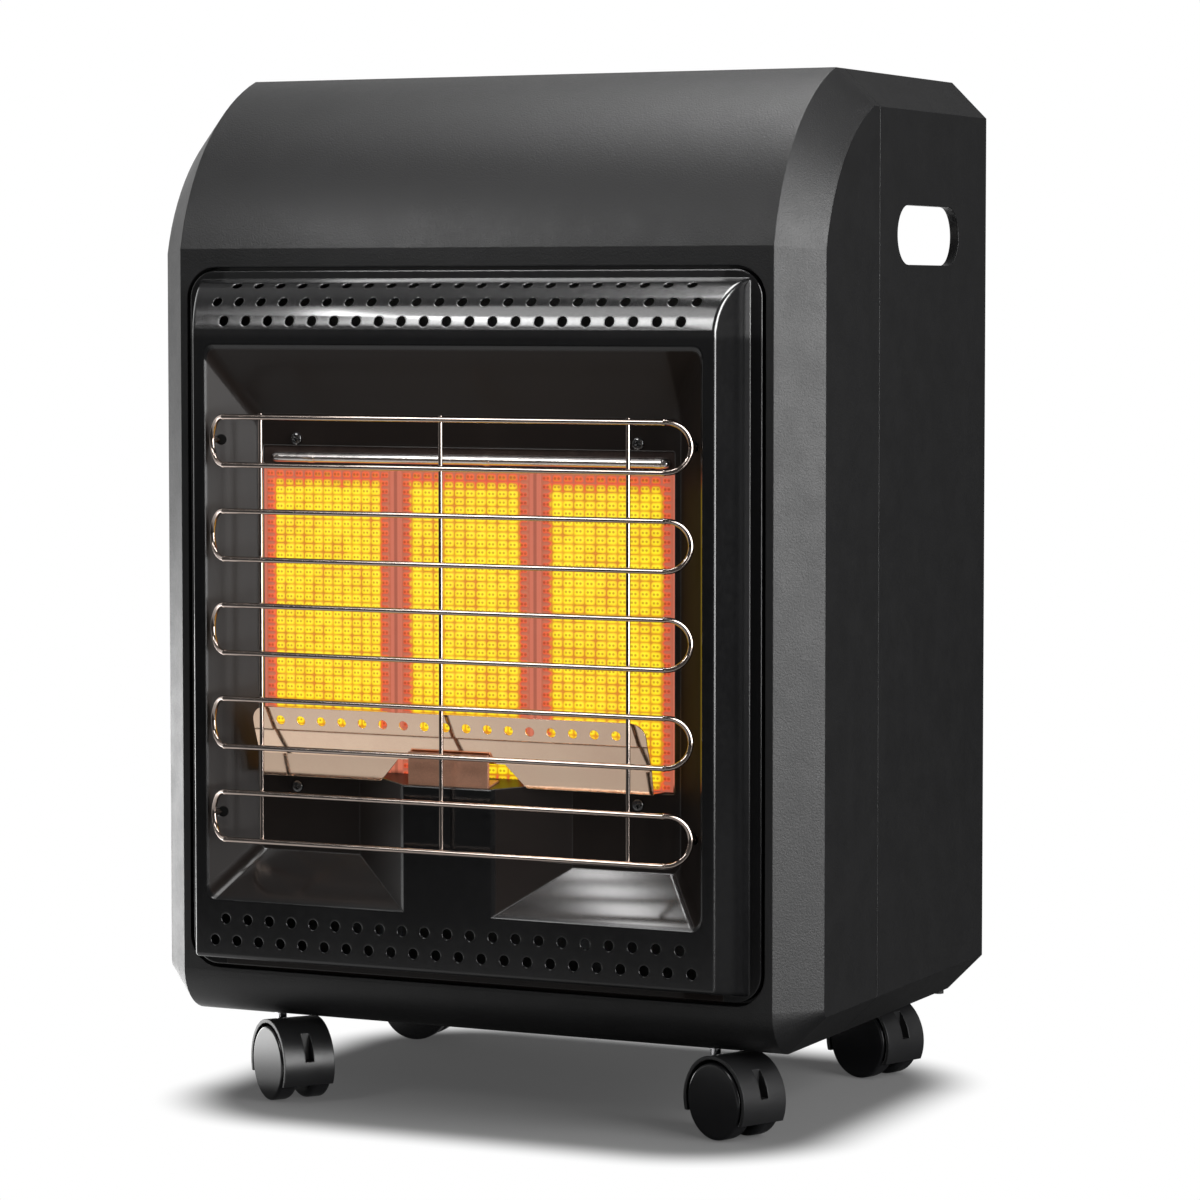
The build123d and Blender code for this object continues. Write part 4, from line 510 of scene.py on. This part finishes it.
# a domed head, cut by a cross whose arms are 1.1 mm wide, 4.2 mm long and 1.1 mm deep
black_screw = finish("black_screw", (0.012, 0.012, 0.012), 0.12, specular=0.9, coat=1.0, grain_depth=0.000004)
low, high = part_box("panel_screws")
recess_back, head_inset = -0.1335, 0.0039
head_radius, head_height, head_sides = 0.0038, 0.0021, 64
arm_half_width, arm_half_length, arm_depth = 0.00055, 0.0021, 0.0011
around = np.linspace(0, 2 * np.pi, head_sides, endpoint=False)[None, :]
ring = np.concatenate([np.linspace(0.02, 0.96, 22), [0.99, 1.0, 1.0]])[:, None]
flat_x, flat_z = head_radius * ring * np.cos(around), head_radius * ring * np.sin(around)
rise = head_height * np.where(ring < 0.999, np.sqrt(np.clip(1 - 0.72 * ring ** 4, 0, 1)), 0.45) + 0 * around
turned = np.abs(np.stack([flat_x * 0.96 + flat_z * 0.28, flat_z * 0.96 - flat_x * 0.28]))
arm = np.minimum(np.clip((arm_half_width - turned.min(0)) / 0.0002, 0, 1),
                 np.clip((arm_half_length - turned.max(0)) / 0.0003, 0, 1))
rise = rise - arm_depth * arm
rise[-1] = 0.0
points, faces = [], []
for side in (-1, 1):
    for z in (low.z + head_inset, high.z - head_inset):
        x = side * (high.x - head_inset)
        faces += capped_rings(ring.size, head_sides, start=len(points) * ring.size * head_sides)
        points.append(np.stack([x + flat_x, recess_back - rise, z + flat_z], -1))
heads = mesh_piece("screw_heads", points, faces, black_screw)
smooth_below(heads, 50)
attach(heads, "chassis")
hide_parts("panel_screws")

# ------------------------------------------------------------------ top rail, deflector and pilot shield
# Bright stainless sheet: the half-round rail over the plaques, the folded deflector with its row of
# holes, and the heat-tinted shield in front of the pilot.
bright_steel = finish("bright_steel", (0.99, 0.71, 0.53), 0.10, metallic=1.0, mottle=0.05, mottle_size=0.03,
                      grain_depth=0.000003, scuff=0.03, round_edge=0.0003)
dress(bright_steel, "deflector")
rail_steel = finish("rail_steel", (0.74, 0.70, 0.68), 0.16, metallic=1.0, mottle=0.08, grain_depth=0.000004)
low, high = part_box("burner_top_rail")
middle, half_height, bulge = (low.z + high.z) / 2, 0.0036, 0.0049


def half_round(name, from_x, to_x, grow, end_round, steps=40, around=20):
    """A half-round bar along X: at each place its section is half an ellipse on the flat back, and both ends
    are drawn in as a quarter circle of radius end_round."""
    share = (1 - np.cos(np.linspace(0, np.pi, steps))) / 2
    x = (from_x + (to_x - from_x) * share)[:, None]
    near_end = np.minimum(x - from_x, to_x - x)
    size = np.sqrt(np.clip(1 - (1 - np.clip(near_end / end_round, 0.02, 1)) ** 2, 0, 1))
    turn = np.linspace(0, np.pi, around)[None, :]
    z = middle + (half_height + grow) * size * np.cos(turn)
    y = high.y - (bulge + grow) * size * np.sin(turn)
    bar = mesh_piece(name, np.stack([x + 0 * turn, y, z], -1), capped_rings(steps, around), rail_steel)
    smooth_below(bar, 50)
    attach(bar, "chassis")
    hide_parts("burner_top_rail")


half_round("top_rail_bar", -0.1365, 0.1400, 0.0, 0.004)
clip_half = 0.0028
for number, clip_x in enumerate((-0.1068, 0.0162, 0.1325)):
    half_round(f"top_rail_clip_{number}", clip_x - clip_half, clip_x + clip_half, 0.0003, 0.0006, steps=14)
dress(finish("heat_tinted_steel", (0.56, 0.29, 0.19), 0.36, metallic=0.5, mottle=0.1, mottle_size=0.015,
             grain_depth=0.000002, scuff=0.03, round_edge=0.0004), "pilot_shield")

# ------------------------------------------------------------------ wire guard
# Five chromed wire loops with hooked ends, spot-welded to three uprights in front of the burners.
# The welded butts and the grommets round the hooks are made here.
chromed_wire = finish("chromed_wire", (0.44, 0.37, 0.33), 0.1, metallic=1.0, mottle=0.06, mottle_size=0.01,
                      grain_depth=0.000003, scuff=0.03)
dress(chromed_wire, "guard_loops", "guard_uprights")


def turned_piece(name, profile, spots, axes, material, around=24):
    """One mesh of equal turned pieces: the profile's (along, radius) pairs, in metres, are swept round an
    axis through each spot; the first and last radius are closed with a flat face."""
    along, radius = np.asarray(profile, float).T
    along, radius = along[:, None], radius[:, None]
    turn = np.linspace(0, 2 * np.pi, around, endpoint=False)
    points, faces = [], []
    for spot, axis in zip(spots, axes):
        axis = Vector(axis).normalized()
        across = axis.orthogonal().normalized()
        frame_axes = np.array([axis, across, axis.cross(across)])
        local = np.stack([along + 0 * turn, radius * np.cos(turn), radius * np.sin(turn)], -1)
        faces += capped_rings(along.size, around, start=len(points) * along.size * around, flip=True)
        points.append(np.asarray(spot) + local.reshape(-1, 3) @ frame_axes)
    piece = mesh_piece(name, points, faces, material)
    smooth_below(piece, 40)
    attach(piece, "chassis")
    return piece


# welded butts where each loop's bent ends meet its straight wires
low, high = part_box("guard_loops")
wire_y, loop_half_height = low.y + 0.0020, 0.0167
butt_x, butt_rise = 0.1509, 0.0150
loop_middles = np.linspace(low.z + loop_half_height, high.z - loop_half_height, 5)
butts = [(side * butt_x, wire_y, z + above * butt_rise)
         for z in loop_middles for side in (-1, 1) for above in (-1, 1)]
swell = np.linspace(-1, 1, 9)
bead_radius = 0.00155 + 0.00042 * np.sqrt(1 - swell ** 2 * 0.999)
bead_radius = np.minimum(bead_radius, 0.00169 + 0.0003 * (1 - swell ** 2))
bead_half_length = 0.0014
butt_beads = turned_piece("guard_butts", np.stack([bead_half_length * swell, bead_radius], -1), butts,
                          [(1, 0, 0)] * len(butts), chromed_wire, around=16)

# black grommets in the recess walls, round the hooks of the top and bottom loops
rubber = finish("grommet_rubber", (0.003, 0.003, 0.003), 0.8, specular=0.08, grain_depth=0.00001)
grommet_x, grommet_y = 0.1632, -0.14995
grommet_spots = [(side * grommet_x, grommet_y, z)
                 for z in (loop_middles[0], loop_middles[-1]) for side in (-1, 1)]
grommet_profile = [(-0.0004, 0.0033), (0.0003, 0.0033), (0.0008, 0.0030), (0.0010, 0.0024)]
grommets = turned_piece("hook_grommets", grommet_profile, grommet_spots,
                        [(-0.707 * np.sign(x), -0.707, 0) for x, _, _ in grommet_spots], rubber)

# ------------------------------------------------------------------ controls
# A painted steel tray sunk in the top carries the gas knob over its printed dial and the red piezo button.
# The valve's spindle and the two springs are plain steel.
dress(finish("tray_paint", (0.028, 0.028, 0.029), 0.45, grain_depth=0.00005), "control_panel")
dial = finish("dial_aluminium", (0.6, 0.6, 0.6), 0.35, metallic=1.0, mottle=0.06, stretch=(1, 12, 1))
tree, shader = shader_of(dial)
low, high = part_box("dial_plate")
dial_middle = ((low.x + high.x) / 2, (low.y + high.y) / 2, 0)
dial_x, dial_y, _ = parts_of(tree, vector_math(tree, "SUBTRACT", object_place(tree), dial_middle))
far = arithmetic(tree, "SQRT", arithmetic(tree, "ADD", product(tree, dial_x, dial_x),
                                          product(tree, dial_y, dial_y)))
bearing = arithmetic(tree, "ARCTAN2", dial_y, dial_x)


def printed_band(radius, half_width):
    """1 within half_width of a radius of the dial, else 0."""
    off_radius = arithmetic(tree, "ABSOLUTE", arithmetic(tree, "SUBTRACT", far, radius))
    return arithmetic(tree, "LESS_THAN", off_radius, half_width)


def printed_ticks(half_turns, width, radius, half_length):
    """1 on ticks at twice half_turns equal steps round the dial, where the sine of half_turns times the
    bearing is small."""
    wave = arithmetic(tree, "ABSOLUTE", arithmetic(tree, "SINE", product(tree, bearing, half_turns)))
    return product(tree, arithmetic(tree, "LESS_THAN", wave, width), printed_band(radius, half_length))


# a printed ring, and a tick every 15 degrees that is longer every 45
ink = largest(tree, printed_band(0.0315, 0.0004), printed_ticks(12.0, 0.16, 0.0285, 0.0012),
              printed_ticks(4.0, 0.09, 0.0270, 0.0030))
plain_colour = shader.inputs["Base Color"].links[0].from_socket
tree.links.new(mixed_colour(tree, ink, plain_colour, (0.01, 0.01, 0.01, 1)), shader.inputs["Base Color"])
dress(dial, "dial_plate")
dress(moulded_black, "control_knob", "piezo_body")
dress(finish("button_red", (0.45, 0.02, 0.015), 0.25), "piezo_button")
dress(axle_steel, "valve_spindle", "knob_spring", "piezo_spring")
